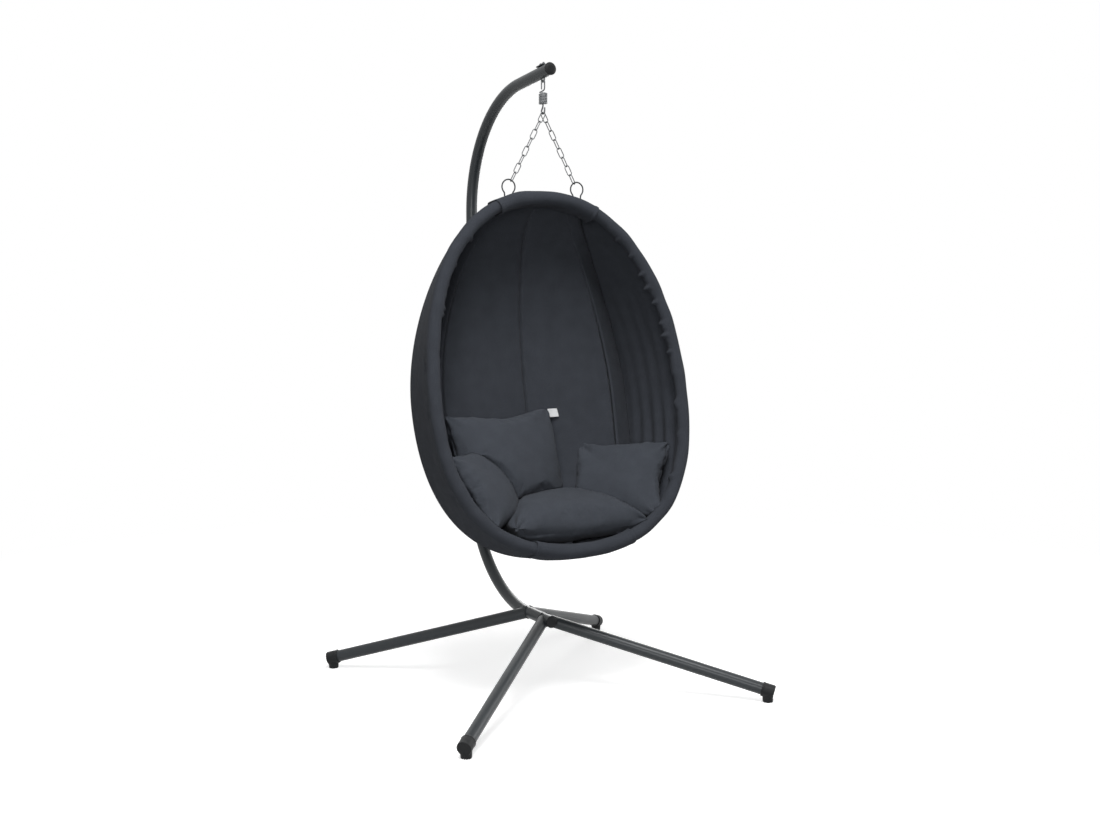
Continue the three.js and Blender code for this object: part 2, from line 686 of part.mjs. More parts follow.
for (const [name, side] of [["left", -1], ["right", 1]]) {
  const other = -side;
  const hoop_frame_clear = [side, other].map((s) => (
    fat_hoop(s, frame_clear / Math.cos(Math.PI / frame_tube_sides), frame_tube_sides)
  ));
  const hoop_sleeve_clear = [side, other].map((s) => fat_hoop(s, sleeve_clear, sleeve_sides));
  const rib_frame_clear = fat_rib(side, frame_clear / Math.cos(Math.PI / frame_tube_sides), frame_tube_sides);
  const rib_sleeve_clear = fat_rib(side, sleeve_clear, sleeve_sides);
  const ring_clear = fat_ring(side);

  const hoop_hollow = new THREE.Path(polygon(frame_hollow_radius, frame_tube_sides));
  const hoop_tube = tube(hoop_route(side, fit_gap / 2), frame_tube_radius, hoop_hollow, frame_tube_sides);
  mesh(pod, `${name}_hoop_tube`, hoop_tube, dark_steel);

  const rib_hollow = new THREE.Path(polygon(frame_hollow_radius, frame_tube_sides));
  const rib_tube = solid(tube(rib_route(side), frame_tube_radius, rib_hollow, frame_tube_sides));
  mesh(pod, `${name}_rib_tube`, surface_of(cut(rib_tube, hoop_frame_clear)), dark_steel);

  const ring = solid(rod(ring_route(side), ring_wire_radius, wire_sides));
  mesh(pod, `${name}_ring`, surface_of(cut(ring, hoop_frame_clear)), dark_steel);

  // The frame's tubes and the holes of their sleeves face the same way, so their sides run side by side
  const snug = frame_tube_radius + fit_gap / Math.cos(Math.PI / frame_tube_sides);
  const sleeve_hole = new THREE.Path(polygon(snug, frame_tube_sides));
  const hoop_sleeve = solid(tube(hoop_route(side, fit_gap / 2), sleeve_radius, sleeve_hole, sleeve_sides));
  mesh(pod, `${name}_hoop_sleeve`, surface_of(cut(hoop_sleeve, [rib_frame_clear, ring_clear])), cloth);

  const rib_hole = new THREE.Path(polygon(snug, frame_tube_sides));
  const rib_sleeve = solid(tube(rib_route(side), sleeve_radius, rib_hole, sleeve_sides));
  const rib_cover = cut(rib_sleeve, [...hoop_sleeve_clear, ring_clear]);
  mesh(pod, `${name}_rib_sleeve`, surface_of(rib_cover), cloth);
}

// A sheet of cloth over a surface that is given by two shares, along and across
function sheet(at, rows, columns, thickness) {
  const step = 0.5 / Math.max(rows, columns) / 8;
  const faces = [[], []];
  for (let i = 0; i <= rows; i += 1) {
    for (let j = 0; j <= columns; j += 1) {
      const u = i / rows;
      const v = j / columns;
      const down = at(Math.min(u + step, 1), v).sub(at(Math.max(u - step, 0), v));
      const over = at(u, Math.min(v + step, 1)).sub(at(u, Math.max(v - step, 0)));
      const normal = down.cross(over).normalize();
      faces[0].push(at(u, v).addScaledVector(normal, thickness / 2));
      faces[1].push(at(u, v).addScaledVector(normal, -thickness / 2));
    }
  }
  return shell(faces, rows, columns);
}

// A closed body between two grids of points of the same size
function shell(faces, rows, columns) {
  const place = (face, i, j) => face * (rows + 1) * (columns + 1) + i * (columns + 1) + j;
  const triangles = [];
  const quad = (a, b, c, d) => triangles.push(a, b, c, a, c, d);
  for (let i = 0; i < rows; i += 1) {
    for (let j = 0; j < columns; j += 1) {
      quad(place(0, i, j), place(0, i + 1, j), place(0, i + 1, j + 1), place(0, i, j + 1));
      quad(place(1, i, j), place(1, i, j + 1), place(1, i + 1, j + 1), place(1, i + 1, j));
    }
  }
  for (let i = 0; i < rows; i += 1) {
    quad(place(0, i, 0), place(1, i, 0), place(1, i + 1, 0), place(0, i + 1, 0));
    quad(place(0, i, columns), place(0, i + 1, columns), place(1, i + 1, columns), place(1, i, columns));
  }
  for (let j = 0; j < columns; j += 1) {
    quad(place(0, 0, j), place(0, 0, j + 1), place(1, 0, j + 1), place(1, 0, j));
    quad(place(0, rows, j), place(1, rows, j), place(1, rows, j + 1), place(0, rows, j + 1));
  }
  const geometry = new THREE.BufferGeometry();
  geometry.setFromPoints([...faces[0], ...faces[1]]);
  geometry.setIndex(triangles);
  return geometry;
}

// Closed bodies must face outwards whichever side of the pod they are on
function outward(geometry) {
  const body = solid(geometry);
  if (body.volume() > 0) {
    return body;
  }
  const turned_over = geometry.clone();
  turned_over.setIndex(Array.from(geometry.index.array).reverse());
  return solid(turned_over);
}

// Side of the pod, from the hoop to the rib, with soft folds that hang down it
function side_at(side) {
  return (u, v) => {
    const share = THREE.MathUtils.lerp(panel_trim_share, 1 - panel_trim_share, u);
    const hoop_share = THREE.MathUtils.lerp(root_top_share, root_bottom_share, share);
    const front = hoop_at(hoop_share, side);
    const fold = side_fold_depth * Math.sin(Math.PI * share) * Math.sin(2 * Math.PI * side_fold_count * v);
    return front.lerp(rib_at(share, side), v).add(new THREE.Vector3(side * fold, 0, 0));
  };
}

// Half of the back, from near the middle to the pocket seam and on to the rib
function back_at(side, from_middle) {
  return (u, v) => {
    const rib = rib_at(u, side);
    const centre = along(back_upper, back_lower, u);
    centre.x = side * from_middle;
    const pull = pocket_seam_forward * Math.sin(Math.PI * u);
    const pocket = rib.clone().lerp(centre, pocket_seam_share).add(new THREE.Vector3(0, -pull, 0));
    if (v < pocket_column_share) {
      return centre.lerp(pocket, v / pocket_column_share);
    }
    return pocket.lerp(rib, (v - pocket_column_share) / (1 - pocket_column_share));
  };
}

// Both panels of one side of the pod. A panel that is grown all round cuts its place out of others.
function panels(side, grow) {
  const thickness = panel_thickness + 2 * grow;
  return [
    outward(sheet(side_at(side), panel_rows, side_columns, thickness)),
    outward(sheet(back_at(side, fit_gap / 2 - grow), panel_rows, back_columns, thickness)),
  ];
}

const sleeves_clear = [-1, 1].flatMap((side) => [
  fat_hoop(side, sleeve_clear, sleeve_sides), fat_rib(side, sleeve_clear, sleeve_sides),
]);
for (const [name, side] of [["left", -1], ["right", 1]]) {
  const [side_panel, back_panel] = panels(side, 0);
  mesh(pod, `${name}_side_panel`, surface_of(cut(side_panel, sleeves_clear)), cloth);
  mesh(pod, `${name}_back_panel`, surface_of(cut(back_panel, sleeves_clear)), cloth);
}

// Cuffs close the cover over the hoop's top and bottom and over the roots of the ribs.
// The outline is forward and inward of the hoop's axis at the top, forward and outward at the bottom.
function cuff_outline(radius, rise) {
  const middle = new THREE.Vector3(0, 0, 0);
  const rear = new THREE.Vector3(-cuff_run, rise, 0);
  const half_sides = sleeve_sides / 2;
  return [
    ...arc(middle, radius, -right_angle, right_angle, half_sides, axis_x, axis_y),
    ...arc(rear, radius, right_angle, 3 * right_angle, half_sides, axis_x, axis_y),
  ].map((point) => new THREE.Vector2(point.x, point.y));
}

// The hoop's way out from the middle of its top or bottom to a place sideways of it
function cuff_half(lower, end) {
  const half = hoop_route(1, 0);
  if (lower) {
    half.reverse();
  }
  const next = half.findIndex((point) => point.x > end);
  const inner = half[next - 1];
  const share = (end - inner.x) / (half[next].x - inner.x);
  return [...half.slice(0, next), inner.clone().lerp(half[next], share)];
}

function cuff_route(lower) {
  const left_half = cuff_half(lower, cuff_left_end).map((point) => mirrored(point, -1));
  return [...left_half.slice(1).reverse(), ...cuff_half(lower, cuff_right_end)];
}

const cloth_clear = [-1, 1].flatMap((side) => panels(side, fit_gap));
const ribs_clear = [-1, 1].map((side) => fat_rib(side, sleeve_clear, sleeve_sides));
const rings_clear = [-1, 1].map((side) => fat_ring(side));
for (const [name, lower] of [["top_cuff", false], ["bottom_cuff", true]]) {
  const rise = lower ? cuff_rise : -cuff_rise;
  const shape = new THREE.Shape(cuff_outline(sleeve_clear + cuff_thickness, rise));
  shape.holes.push(new THREE.Path(cuff_outline(sleeve_clear, rise)));
  const cuff = solid(sweep(shape, cuff_route(lower)));
  mesh(pod, name, surface_of(cut(cuff, [...cloth_clear, ...ribs_clear, ...rings_clear])), cloth);
}

// A pillow with its width across, its thickness from front to back and its length upright
function pillow(width, length, thickness, crown_share = cushion_crown_share) {
  const points = [];
  const triangles = [];
  const row = cushion_steps + 1;
  for (const face of [-1, 1]) {
    for (let i = 0; i <= cushion_steps; i += 1) {
      for (let j = 0; j <= cushion_steps; j += 1) {
        const a = (2 * i) / cushion_steps - 1;
        const b = (2 * j) / cushion_steps - 1;
        const crown = ((1 - a * a) * (1 - b * b)) ** crown_share;
        points.push(new THREE.Vector3(
          (width / 2) * a * (1 - cushion_draw_share * (1 - b * b)),
          (thickness / 2) * face * crown,
          (length / 2) * b * (1 - cushion_draw_share * (1 - a * a)),
        ));
      }
    }
  }
  for (const face of [0, 1]) {
    for (let i = 0; i < cushion_steps; i += 1) {
      for (let j = 0; j < cushion_steps; j += 1) {
        const corner = (face * row + i) * row + j;
        const quad = [corner, corner + row, corner + row + 1, corner + 1];
        if (face === 1) {
          quad.reverse();
        }
        triangles.push(quad[0], quad[1], quad[2], quad[0], quad[2], quad[3]);
      }
    }
  }
  const geometry = new THREE.BufferGeometry();
  geometry.setFromPoints(points);
  geometry.setIndex(triangles);
  return geometry;
}

// Puts a shape that was made level and upright into its place in the tilted pod
function settle(geometry, lean, turn, offset, back, rise) {
  const level = geometry.rotateX(-lean).rotateZ(turn).translate(offset, back, rise);
  return level.rotateX(pod_tilt).translate(0, 0, -hoop_height);
}

function seat_pillow(grow) {
  const size = [seat_width, seat_length, seat_thickness].map((side) => side + 2 * grow);
  const shape = pillow(...size, seat_crown_share);
  return outward(settle(shape, -right_angle, 0, seat_offset, seat_back, seat_rise));
}

function arm_pillow(side, grow) {
  const shape = pillow(arm_width + 2 * grow, arm_length + 2 * grow, arm_thickness + 2 * grow);
  return outward(settle(shape, arm_lean, -side * arm_turn, side * arm_offset, arm_back, arm_rise));
}

function rest_pillow() {
  const shape = pillow(rest_width, rest_length, rest_thickness);
  return outward(settle(shape, rest_lean, rest_turn, rest_offset, rest_back, rest_rise));
}

const cushion_sleeve_clear = (sleeve_radius + cloth_gap) / Math.cos(Math.PI / sleeve_sides);
const lining_clear = [-1, 1].flatMap((side) => [
  ...panels(side, cloth_gap),
  fat_hoop(side, cushion_sleeve_clear, sleeve_sides),
  fat_rib(side, cushion_sleeve_clear, sleeve_sides),
]);
for (const [name, side] of [["left", -1], ["right", 1]]) {
  const arm_body = cut(arm_pillow(side, 0), lining_clear);
  mesh(pod, `${name}_arm_cushion`, surface_of(arm_body), cushion_cloth);
}
const arms_clear = [-1, 1].map((side) => arm_pillow(side, cloth_gap));
const cuff_clear_shape = new THREE.Shape(cuff_outline(sleeve_clear + cuff_thickness + cloth_gap, cuff_rise));
const bottom_cuff_clear = solid(sweep(cuff_clear_shape, cuff_route(true)));
const seat_body = cut(seat_pillow(0), [...lining_clear, bottom_cuff_clear, ...arms_clear]);
mesh(pod, "seat_cushion", surface_of(seat_body), cushion_cloth);
const rest_body = cut(rest_pillow(), [...lining_clear, ...arms_clear, seat_pillow(cloth_gap)]);
mesh(pod, "back_cushion", surface_of(rest_body), cushion_cloth);

// A blank label sewn to the back cushion's upper right corner
const label = new THREE.BoxGeometry(label_width, label_thickness, label_length);
label.translate(rest_width / 2 + fit_gap + label_width / 2, 0, rest_length / 2 - label_length / 2);
settle(label, rest_lean, rest_turn, rest_offset, rest_back, rest_rise);
mesh(pod, "label", label, label_cloth);

export default chair;
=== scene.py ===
# Looks of a hanging egg chair: a C-shaped tube stand on four legs, a sprung hook with two short
# chains, and a padded fabric pod on a steel hoop with two rear ribs and four loose cushions.
# Metres, +Z up. The origin is on the floor under the middle of the four feet.
# The chair faces -Y, its left side is -X and the stand's upright is behind the pod.
import math

import bmesh
import bpy
import numpy as np
from mathutils import Matrix, Vector
from mathutils.bvhtree import BVHTree


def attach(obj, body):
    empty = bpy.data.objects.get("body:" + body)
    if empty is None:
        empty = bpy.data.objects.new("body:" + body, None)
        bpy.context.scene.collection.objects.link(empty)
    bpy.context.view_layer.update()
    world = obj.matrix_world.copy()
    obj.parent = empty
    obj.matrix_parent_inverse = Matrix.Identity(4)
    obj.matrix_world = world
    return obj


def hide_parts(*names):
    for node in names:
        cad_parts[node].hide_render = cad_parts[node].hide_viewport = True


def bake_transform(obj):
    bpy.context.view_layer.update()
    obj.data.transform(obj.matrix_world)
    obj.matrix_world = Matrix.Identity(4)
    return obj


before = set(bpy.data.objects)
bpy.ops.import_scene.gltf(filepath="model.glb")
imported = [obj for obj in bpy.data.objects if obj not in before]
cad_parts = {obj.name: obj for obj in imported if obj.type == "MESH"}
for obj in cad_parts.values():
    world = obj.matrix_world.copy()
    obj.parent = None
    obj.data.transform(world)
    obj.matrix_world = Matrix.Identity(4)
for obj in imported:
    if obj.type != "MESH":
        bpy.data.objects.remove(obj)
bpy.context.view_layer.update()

# Building of bodies. A closed end's rim is drawn in to its outside divided by the pinch
end_pinch = 40
rod_end_share = 0.02
crease_turn = math.radians(35)
smooth_share = 0.5
same_spot = 1e-7
least_length = 1e-12
least_move = 1e-9
least_reach = 1e-6
field_waves = 14
field_speed_shares = (0.5, 1.3)
field_peak = 1.6

# Stand tubes
fit_gap = 0.0003
tube_radius = 0.019
pole_foot_height = 0.220
pole_foot_front = 0.067
pole_back = 0.497
pole_lower_radius = 0.404
pole_upper_radius = 0.392
pole_bend_height = 1.545
pole_tip_front = 0.057
pole_tip_rise = math.radians(6)
pole_arc_steps = 72
tube_sides = 48

# Welds where the legs meet the pole
weld_radius = 0.0024
weld_ripple_share = 0.16
weld_ripples = 46
weld_sides = 10
leg_levels = 24

# Plastic caps in the pole's ends
cap_plug_depth = 0.016
cap_plug_radius = 0.0168
cap_rim_radius = 0.020
cap_rim_thickness = 0.0035
cap_dome_height = 0.003
cap_round = 0.0012

# Legs and feet
foot_half_spacing = 0.520
foot_reach = 0.514
foot_axis_height = 0.036
leg_past_foot = 0.018
front_leg_root = 0.020
rear_leg_root = 0.087
foot_wall = 0.0025
foot_sleeve_length = 0.040
foot_boss_radius = 0.018
foot_sole_radius = 0.016
foot_lip = 0.0009
foot_lip_length = 0.005
foot_round = 0.0035
foot_grain = 0.0011
foot_smooth_rounds = 4
foot_slot_count = 4
foot_slot_width = 0.0024
foot_slot_depth = 0.003

# Hanging bolt, its saddle and nuts
hang_forward = 0.013
bolt_wire_radius = 0.003
bolt_half_spacing = 0.009
bolt_drop = 0.010
bolt_thread_stickout = 0.003
thread_pitch = 0.001
thread_depth = 0.0003
thread_length = 0.012
saddle_length = 0.044
saddle_width = 0.024
saddle_thickness = 0.003
saddle_round = 0.0009
saddle_corner = 0.004
nut_across_radius = 0.0058
nut_height = 0.005
nut_sides = 48
nut_flat_share = 0.96
nut_chamfer_turn = math.radians(30)
nut_crease_turn = math.radians(20)

# Spring with its upper hook
spring_wire_radius = 0.0021
spring_coil_radius = 0.0117
spring_curls = 7
spring_curl_gap = 0.0005
spring_top_drop = 0.035
hook_tail_drop = 0.022
curl_steps = 40
wire_sides = 14
lead_blend_points = 6
lead_blend_rounds = 12

# Swivel plug and lower hook
plug_height = 0.012
plug_radius = 0.0085
hook_wire_radius = 0.0025
hook_bend_radius = 0.0103
hook_bend_drop = 0.0885
hook_neck_drop = 0.076
hook_tip_rise = 0.007
hook_head_radius = 0.005
hook_head_height = 0.004
wire_round = 0.0006
plug_sides = 40
hook_sides = 20
head_sides = 32
hook_fixed_points = 4
hook_blend_rounds = 10

# Chains
link_count = 8
link_length = 0.0366
link_width = 0.018
link_wire_radius = 0.0015
link_weld_share = 0.22
link_sides = 10

# Rings on top of the hoop
ring_half_spacing = 0.1225
ring_radius = 0.02275
ring_wire_radius = 0.00225
ring_lift = 0.048
ring_open_turn = math.radians(53)
ring_steps = 64
ring_blend_rounds = 3

# Pod frame, in the tilted plane of its front hoop
pod_tilt = math.radians(12.7)
hoop_half_width = 0.438
hoop_height = 1.109
hoop_widest_drop = 0.628
hoop_top_handle_share = 0.662
hoop_upper_handle_share = 0.557
hoop_lower_handle_share = 0.584
hoop_bottom_handle_share = 0.753
rib_half_width = 0.376
rib_depth = 0.271
rib_widest_drop = 0.615
rib_root = 0.110
rib_top_reach = 0.103
rib_top_run = 0.206
rib_upper_handle = 0.276
rib_lower_handle = 0.235
rib_bottom_reach = 0.212
rib_bottom_run = 0.197

# Pod covers
sleeve_radius = 0.020
sleeve_stations = 420
sleeve_sides = 56
rib_stations = 140
gather_depth = 0.0042
gather_size = 0.030
gather_turn = math.radians(205)
gather_spread = math.radians(52)
gather_sharpness = 1.5
gather_level = 0.25
gather_least_share = 0.55
gather_change_share = 0.45
sleeve_sag = 0.0010
rib_trim_share = 0.012
rib_slack_share = 0.05
rib_cover_radius = 0.0173
rib_wrap_radius = 0.0191
pocket_edge_radius = 0.0055
pocket_edge_back = 0.010
panel_thickness = 0.002
panel_stand_hoop = 0.0178
wrap_overlap = math.radians(2)
wrap_columns = 9
strip_columns = 8
back_depth = 0.250
back_top_run = 0.160
back_upper_handle = 0.350
back_belly = 0.012
back_lower_handle = 0.180
back_bottom_run = 0.230
pocket_seam_share = 0.18
pocket_seam_forward = 0.050
hang_fold_depth = 0.0065
hang_fold_width = 0.052
hang_fold_place_share = 0.66
hang_fold_reach_share = 0.25
hang_fold_fade = 0.6
hang_fold_wander_share = 0.35
hang_fold_least_share = 0.75
hang_fold_change_share = 0.25
left_fold_share = 0.03
side_gather_place = 0.028
side_gather_width = 0.016
side_gather_sharpness = 1.4
spike_depth = 0.020
spike_width = 0.012
spike_turn = math.radians(85)
spike_back_turn = math.radians(16)
spike_count = 8
spike_first_share = 0.19
spike_last_share = 0.46
spike_shift_share = 0.015
spike_least_share = 0.25
spike_wander = 0.12
spike_hollow = 1.6
spike_seed = 211
panel_trim_share = 0.03
back_trim_share = 0.004
panel_rows = 120
side_columns = 56
near_hoop_share = 0.25
near_hoop_columns = 16
back_columns = 44
near_seam_shares = (0.004, 0.008, 0.012, 0.017, 0.023, 0.030, 0.040)
rib_step_share = 0.002
seam_groove = 0.0095
seam_width = 0.0042
seam_fade = 0.5
seam_pucker = 0.0011
seam_pucker_size = 0.016
middle_pucker_width = 0.030
pocket_pucker_width = 0.022
slit_depth = 0.006
slit_place_share = 0.17
slit_reach_share = 0.035
cloth_wave = 0.0016
cushion_wave = 0.0030
cuff_left_end = 0.162
cuff_right_end = 0.186
cuff_thickness = 0.0020
cuff_loose = 0.0008
cuff_run = 0.034
cuff_rise = 0.002
cuff_stations = 90
cuff_sides = 88
cuff_hem_width = 0.011
cuff_hem_rise = 0.0016
cuff_hem_soft = 0.0006
cuff_lining = 0.0004
cuff_wave = 0.0012

# Random fields over cloth: how much its two coordinates count, the features' size and the seed
sleeve_fold_field = (1, 1, gather_size, 3)
sleeve_strength_field = (1, 0, 0.35, 10)
sleeve_slack_field = (1, 1, 0.09, 23)
rib_slack_field = (1, 1, 0.07, 31)
fold_wander_field = (0.9, 0, 0.6, 41)
fold_depth_field = (1, 1, 0.2, 45)
side_slack_field = (1, 0.7, 0.12, 51)
side_gather_field = (0.08, 1.2, gather_size, 61)
seam_pucker_field = (1, 0.3, seam_pucker_size, 71)
back_slack_field = (1, 1.6, 0.16, 81)
cuff_wave_field = (0.7, 1, 0.06, 0)
cuff_seeds = (91, 97)
field_round = 0.2

# Cushions. Places are from the hoop's lowest point: sideways, back and up, level with the floor
cushion_draw_share = 0.018
cushion_crown_share = 0.38
cushion_spare = 0.005
seat_seam_drop = 0.034
seat_crown_share = 0.26
pillow_steps = 72
cushion_voxel = 0.0045
cushion_slack = 0.014
cushion_shrink = 0.0045
cushion_pressure = 4
cushion_frames = 20
cushion_quality = 4
cushion_stiffness = 18
cushion_bending = 2.5
cut_smooth_rounds = 3
room_smooth_rounds = 2
cushion_gap = 0.0014
lining_gap = 0.0026
push_reach = 0.030
push_least = 1e-5
seam_level_width = 0.006
seam_rim_width = 0.011
seam_dip = 0.0038
rim_pucker_size = 0.028
rim_pucker_reach = 0.034
rim_pucker_offset = 0.02
rim_pucker_inward_share = 0.15
corner_fold_reach = 0.060
corner_folds = 7
corner_fold_shifts = (1.3, 2.1)
broad_wave_size = 0.17
broad_wave_stretch = (1, 0.5, 1)
corner_ear_reach = 0.022
ridge_place = 0.043
ridge_round = 0.012
face_reach = 0.02
seat_size = (0.466, 0.320, 0.150)
seat_place = (0.012, 0.166, 0.088)
rest_size = (0.412, 0.355, 0.125)
rest_place = (-0.129, 0.232, 0.238)
rest_lean = math.radians(18)
rest_turn = math.radians(11)
arm_size = (0.290, 0.260, 0.115)
arm_place = (0.236, 0.163, 0.183)
arm_lean = math.radians(34)
arm_turn = math.radians(42)
# How far a cushion swells, its seed, corner folds, puckers, ears and the bend of its front
left_arm_looks = (0.013, 121, 0.0050, 0.0020, 0.012, 0)
right_arm_looks = (0.012, 131, 0.0060, 0.0024, 0.013, 0.026)
seat_looks = (0.006, 101, 0.0110, 0.0012, 0.012, 0)
rest_looks = (0.011, 111, 0.0030, 0.0016, 0.004, 0)
label_width = 0.042
label_length = 0.028
label_thickness = 0.0008
label_curl = 0.0016
label_curl_turn = 2.6
label_ripple = 0.0008
label_ripple_turns = (2, 3)

# Stitching
stitch_length = 0.0040
stitch_pitch = 0.0062
thread_radius = 0.00045
stitch_inset = 0.006
stitch_steps = 5
stitch_sides = 5
stitch_end_share = 0.7
stitch_dip = 8
stitch_trim_share = 0.05
stitch_look_share = 0.004

# Cloths
weave_pitch = 0.0014
cushion_weave_pitch = 0.0011
ribbon_pitch = 0.0007
weave_relief = 0.00022

# Fine bumps of the hard finishes
paint_relief = 0.00002
plastic_relief = 0.00008
plated_relief = 0.0001
thread_relief = 0.00015

# Camera of the photograph
camera_turn = math.radians(-29.0)
camera_distance = 4.3201
camera_height = 1.2748
camera_pitch = math.radians(5.1208)
camera_yaw = math.radians(-0.3728)
camera_lens = 44.44
camera_sensor = 36

axis_x = np.array([1.0, 0.0, 0.0])
axis_y = np.array([0.0, 1.0, 0.0])
axis_z = np.array([0.0, 0.0, 1.0])
full_turn = 2 * math.pi
right_angle = math.pi / 2


# Shader nodes
def add(tree, kind, inputs=None, **settings):
    """A node with its settings, and its inputs given as numbers, colours or other nodes' sockets."""
    made = tree.nodes.new(kind)
    for name, value in settings.items():
        setattr(made, name, value)
    for socket, value in (inputs or {}).items():
        if isinstance(value, bpy.types.NodeSocket):
            tree.links.new(value, made.inputs[socket])
        else:
            made.inputs[socket].default_value = value
    return made


def maths(tree, work, first, second=0.0):
    return add(tree, "ShaderNodeMath", {0: first, 1: second}, operation=work).outputs[0]


def effect(name, inputs, outputs):
    """An empty shader group with named number, vector or colour sockets."""
    kinds = {"number": "NodeSocketFloat", "vector": "NodeSocketVector", "colour": "NodeSocketColor"}
    tree = bpy.data.node_groups.new(name, "ShaderNodeTree")
    for socket, (kind, value) in inputs.items():
        made = tree.interface.new_socket(name=socket, in_out="INPUT", socket_type=kinds[kind])
        if value is not None:
            made.default_value = value
    for socket, kind in outputs.items():
        tree.interface.new_socket(name=socket, in_out="OUTPUT", socket_type=kinds[kind])
    return tree, tree.nodes.new("NodeGroupInput").outputs, tree.nodes.new("NodeGroupOutput").inputs


def weave_effect():
    """Plain weave of uneven yarns: its height, and its light and dark yarns with shade painted into the
    weave's low points.
    """
    tree, given, made = effect(
        "plain_weave",
        {"Place": ("vector", None), "Pitch": ("number", 0.001), "Unevenness": ("number", 0.3)},
        {"Height": "number", "Shade": "number", "Fuzz": "number"},
    )
    per_pitch = maths(tree, "DIVIDE", 1.0, given["Pitch"])
    yarns = add(tree, "ShaderNodeVectorMath", {0: given["Place"], "Scale": per_pitch}, operation="SCALE")
    wander = add(tree, "ShaderNodeTexNoise", {"Vector": yarns.outputs[0], "Scale": 0.21, "Detail": 1.0})
    drift = add(tree, "ShaderNodeVectorMath", {0: wander.outputs["Color"], "Scale": given["Unevenness"]},
                operation="SCALE")
    bent = add(tree, "ShaderNodeVectorMath", {0: yarns.outputs[0], 1: drift.outputs[0]}, operation="ADD")
    parts = add(tree, "ShaderNodeSeparateXYZ", {0: bent.outputs[0]})
    warp = maths(tree, "SINE", maths(tree, "MULTIPLY", parts.outputs[0], full_turn))
    weft = maths(tree, "SINE", maths(tree, "MULTIPLY", parts.outputs[1], full_turn))
    crossing = maths(tree, "MULTIPLY", warp, weft)
    slubs = add(tree, "ShaderNodeTexNoise", {"Vector": yarns.outputs[0], "Scale": 0.9, "Detail": 2.0})
    uneven = maths(tree, "MULTIPLY", slubs.outputs[0], given["Unevenness"])
    half = maths(tree, "MULTIPLY_ADD", crossing, 0.5)
    half.node.inputs[2].default_value = 0.5
    tree.links.new(maths(tree, "ADD", half, uneven), made["Height"])
    melange = add(tree, "ShaderNodeTexNoise", {"Vector": yarns.outputs[0], "Scale": 0.5, "Detail": 3.0})
    patches = add(tree, "ShaderNodeTexNoise", {"Vector": given["Place"], "Scale": 22.0, "Detail": 2.0})
    tone = maths(tree, "ADD", maths(tree, "MULTIPLY", melange.outputs[0], 0.78),
                 maths(tree, "MULTIPLY", patches.outputs[0], 0.22))
    # painted shade: the weave's raised crossings are made lighter and its dips darker, on top of the yarns'
    # own tone
    shade = maths(tree, "ADD", tone, maths(tree, "MULTIPLY", crossing, 0.10))
    tree.links.new(shade, made["Shade"])
    tree.links.new(maths(tree, "MULTIPLY", slubs.outputs[0], half), made["Fuzz"])
    return tree


def grain_effect():
    """Fine bumps of a sprayed or moulded surface, and a slow change of tone."""
    tree, given, made = effect(
        "fine_grain",
        {"Place": ("vector", None), "Bumps per metre": ("number", 900.0), "Cells": ("number", 0.0)},
        {"Height": "number", "Tone": "number"},
    )
    fine = add(tree, "ShaderNodeTexNoise",
               {"Vector": given["Place"], "Scale": given["Bumps per metre"], "Detail": 2.0})
    cells = add(tree, "ShaderNodeTexVoronoi",
                {"Vector": given["Place"], "Scale": given["Bumps per metre"]}, feature="SMOOTH_F1")
    height = add(tree, "ShaderNodeMix", {0: given["Cells"], 2: fine.outputs[0], 3: cells.outputs["Distance"]})
    tree.links.new(height.outputs[0], made["Height"])
    slow = add(tree, "ShaderNodeTexNoise", {"Vector": given["Place"], "Scale": 14.0, "Detail": 3.0})
    tree.links.new(slow.outputs[0], made["Tone"])
    return tree


def wear_effect():
    """Thin dust, and small rubbed spots where the surface has been handled."""
    tree, given, made = effect(
        "light_wear",
        {"Place": ("vector", None), "Spots per metre": ("number", 60.0), "Amount": ("number", 0.1)},
        {"Rubbed": "number", "Dust": "number"},
    )
    spots = add(tree, "ShaderNodeTexNoise", {
        "Vector": given["Place"], "Scale": given["Spots per metre"], "Detail": 5.0, "Roughness": 0.7,
    })
    rubbed = add(tree, "ShaderNodeMapRange", {0: spots.outputs[0], 1: 0.62, 2: 0.74})
    tree.links.new(maths(tree, "MULTIPLY", rubbed.outputs[0], given["Amount"]), made["Rubbed"])
    normal = add(tree, "ShaderNodeNewGeometry").outputs["Normal"]
    upward = add(tree, "ShaderNodeSeparateXYZ", {0: normal}).outputs[2]
    settled = add(tree, "ShaderNodeMapRange", {0: upward, 1: 0.2, 2: 1.0})
    dusty = maths(tree, "MULTIPLY", settled.outputs[0], spots.outputs[0])
    tree.links.new(maths(tree, "MULTIPLY", dusty, given["Amount"]), made["Dust"])
    return tree


weave = weave_effect()
grain = grain_effect()
wear = wear_effect()


def colour(red, green, blue):
    """A colour as a screen shows it, in parts of 255."""
    parts = [part / 255 for part in (red, green, blue)]
    linear = [part / 12.92 if part <= 0.04045 else ((part + 0.055) / 1.055) ** 2.4 for part in parts]
    return (*linear, 1.0)


def finish_of(name, **constants):
    """A material with a Principled BSDF, whose unchanging values are set on its own sockets."""
    made = bpy.data.materials.new(name)
    made.use_nodes = True
    shader = made.node_tree.nodes["Principled BSDF"]
    for socket, value in constants.items():
        shader.inputs[socket.replace("_", " ")].default_value = value
    return made, made.node_tree, shader


def placed(tree, group, inputs):
    return add(tree, "ShaderNodeGroup", inputs, node_tree=group).outputs


def mixed(tree, share, first, second):
    """Between two colours."""
    return add(tree, "ShaderNodeMix", {0: share, 6: first, 7: second}, data_type="RGBA").outputs[2]


def between(tree, value, low, high):
    """A value from 0 to 1 brought to lie from low to high."""
    return add(tree, "ShaderNodeMapRange", {0: value, 3: low, 4: high}).outputs[0]


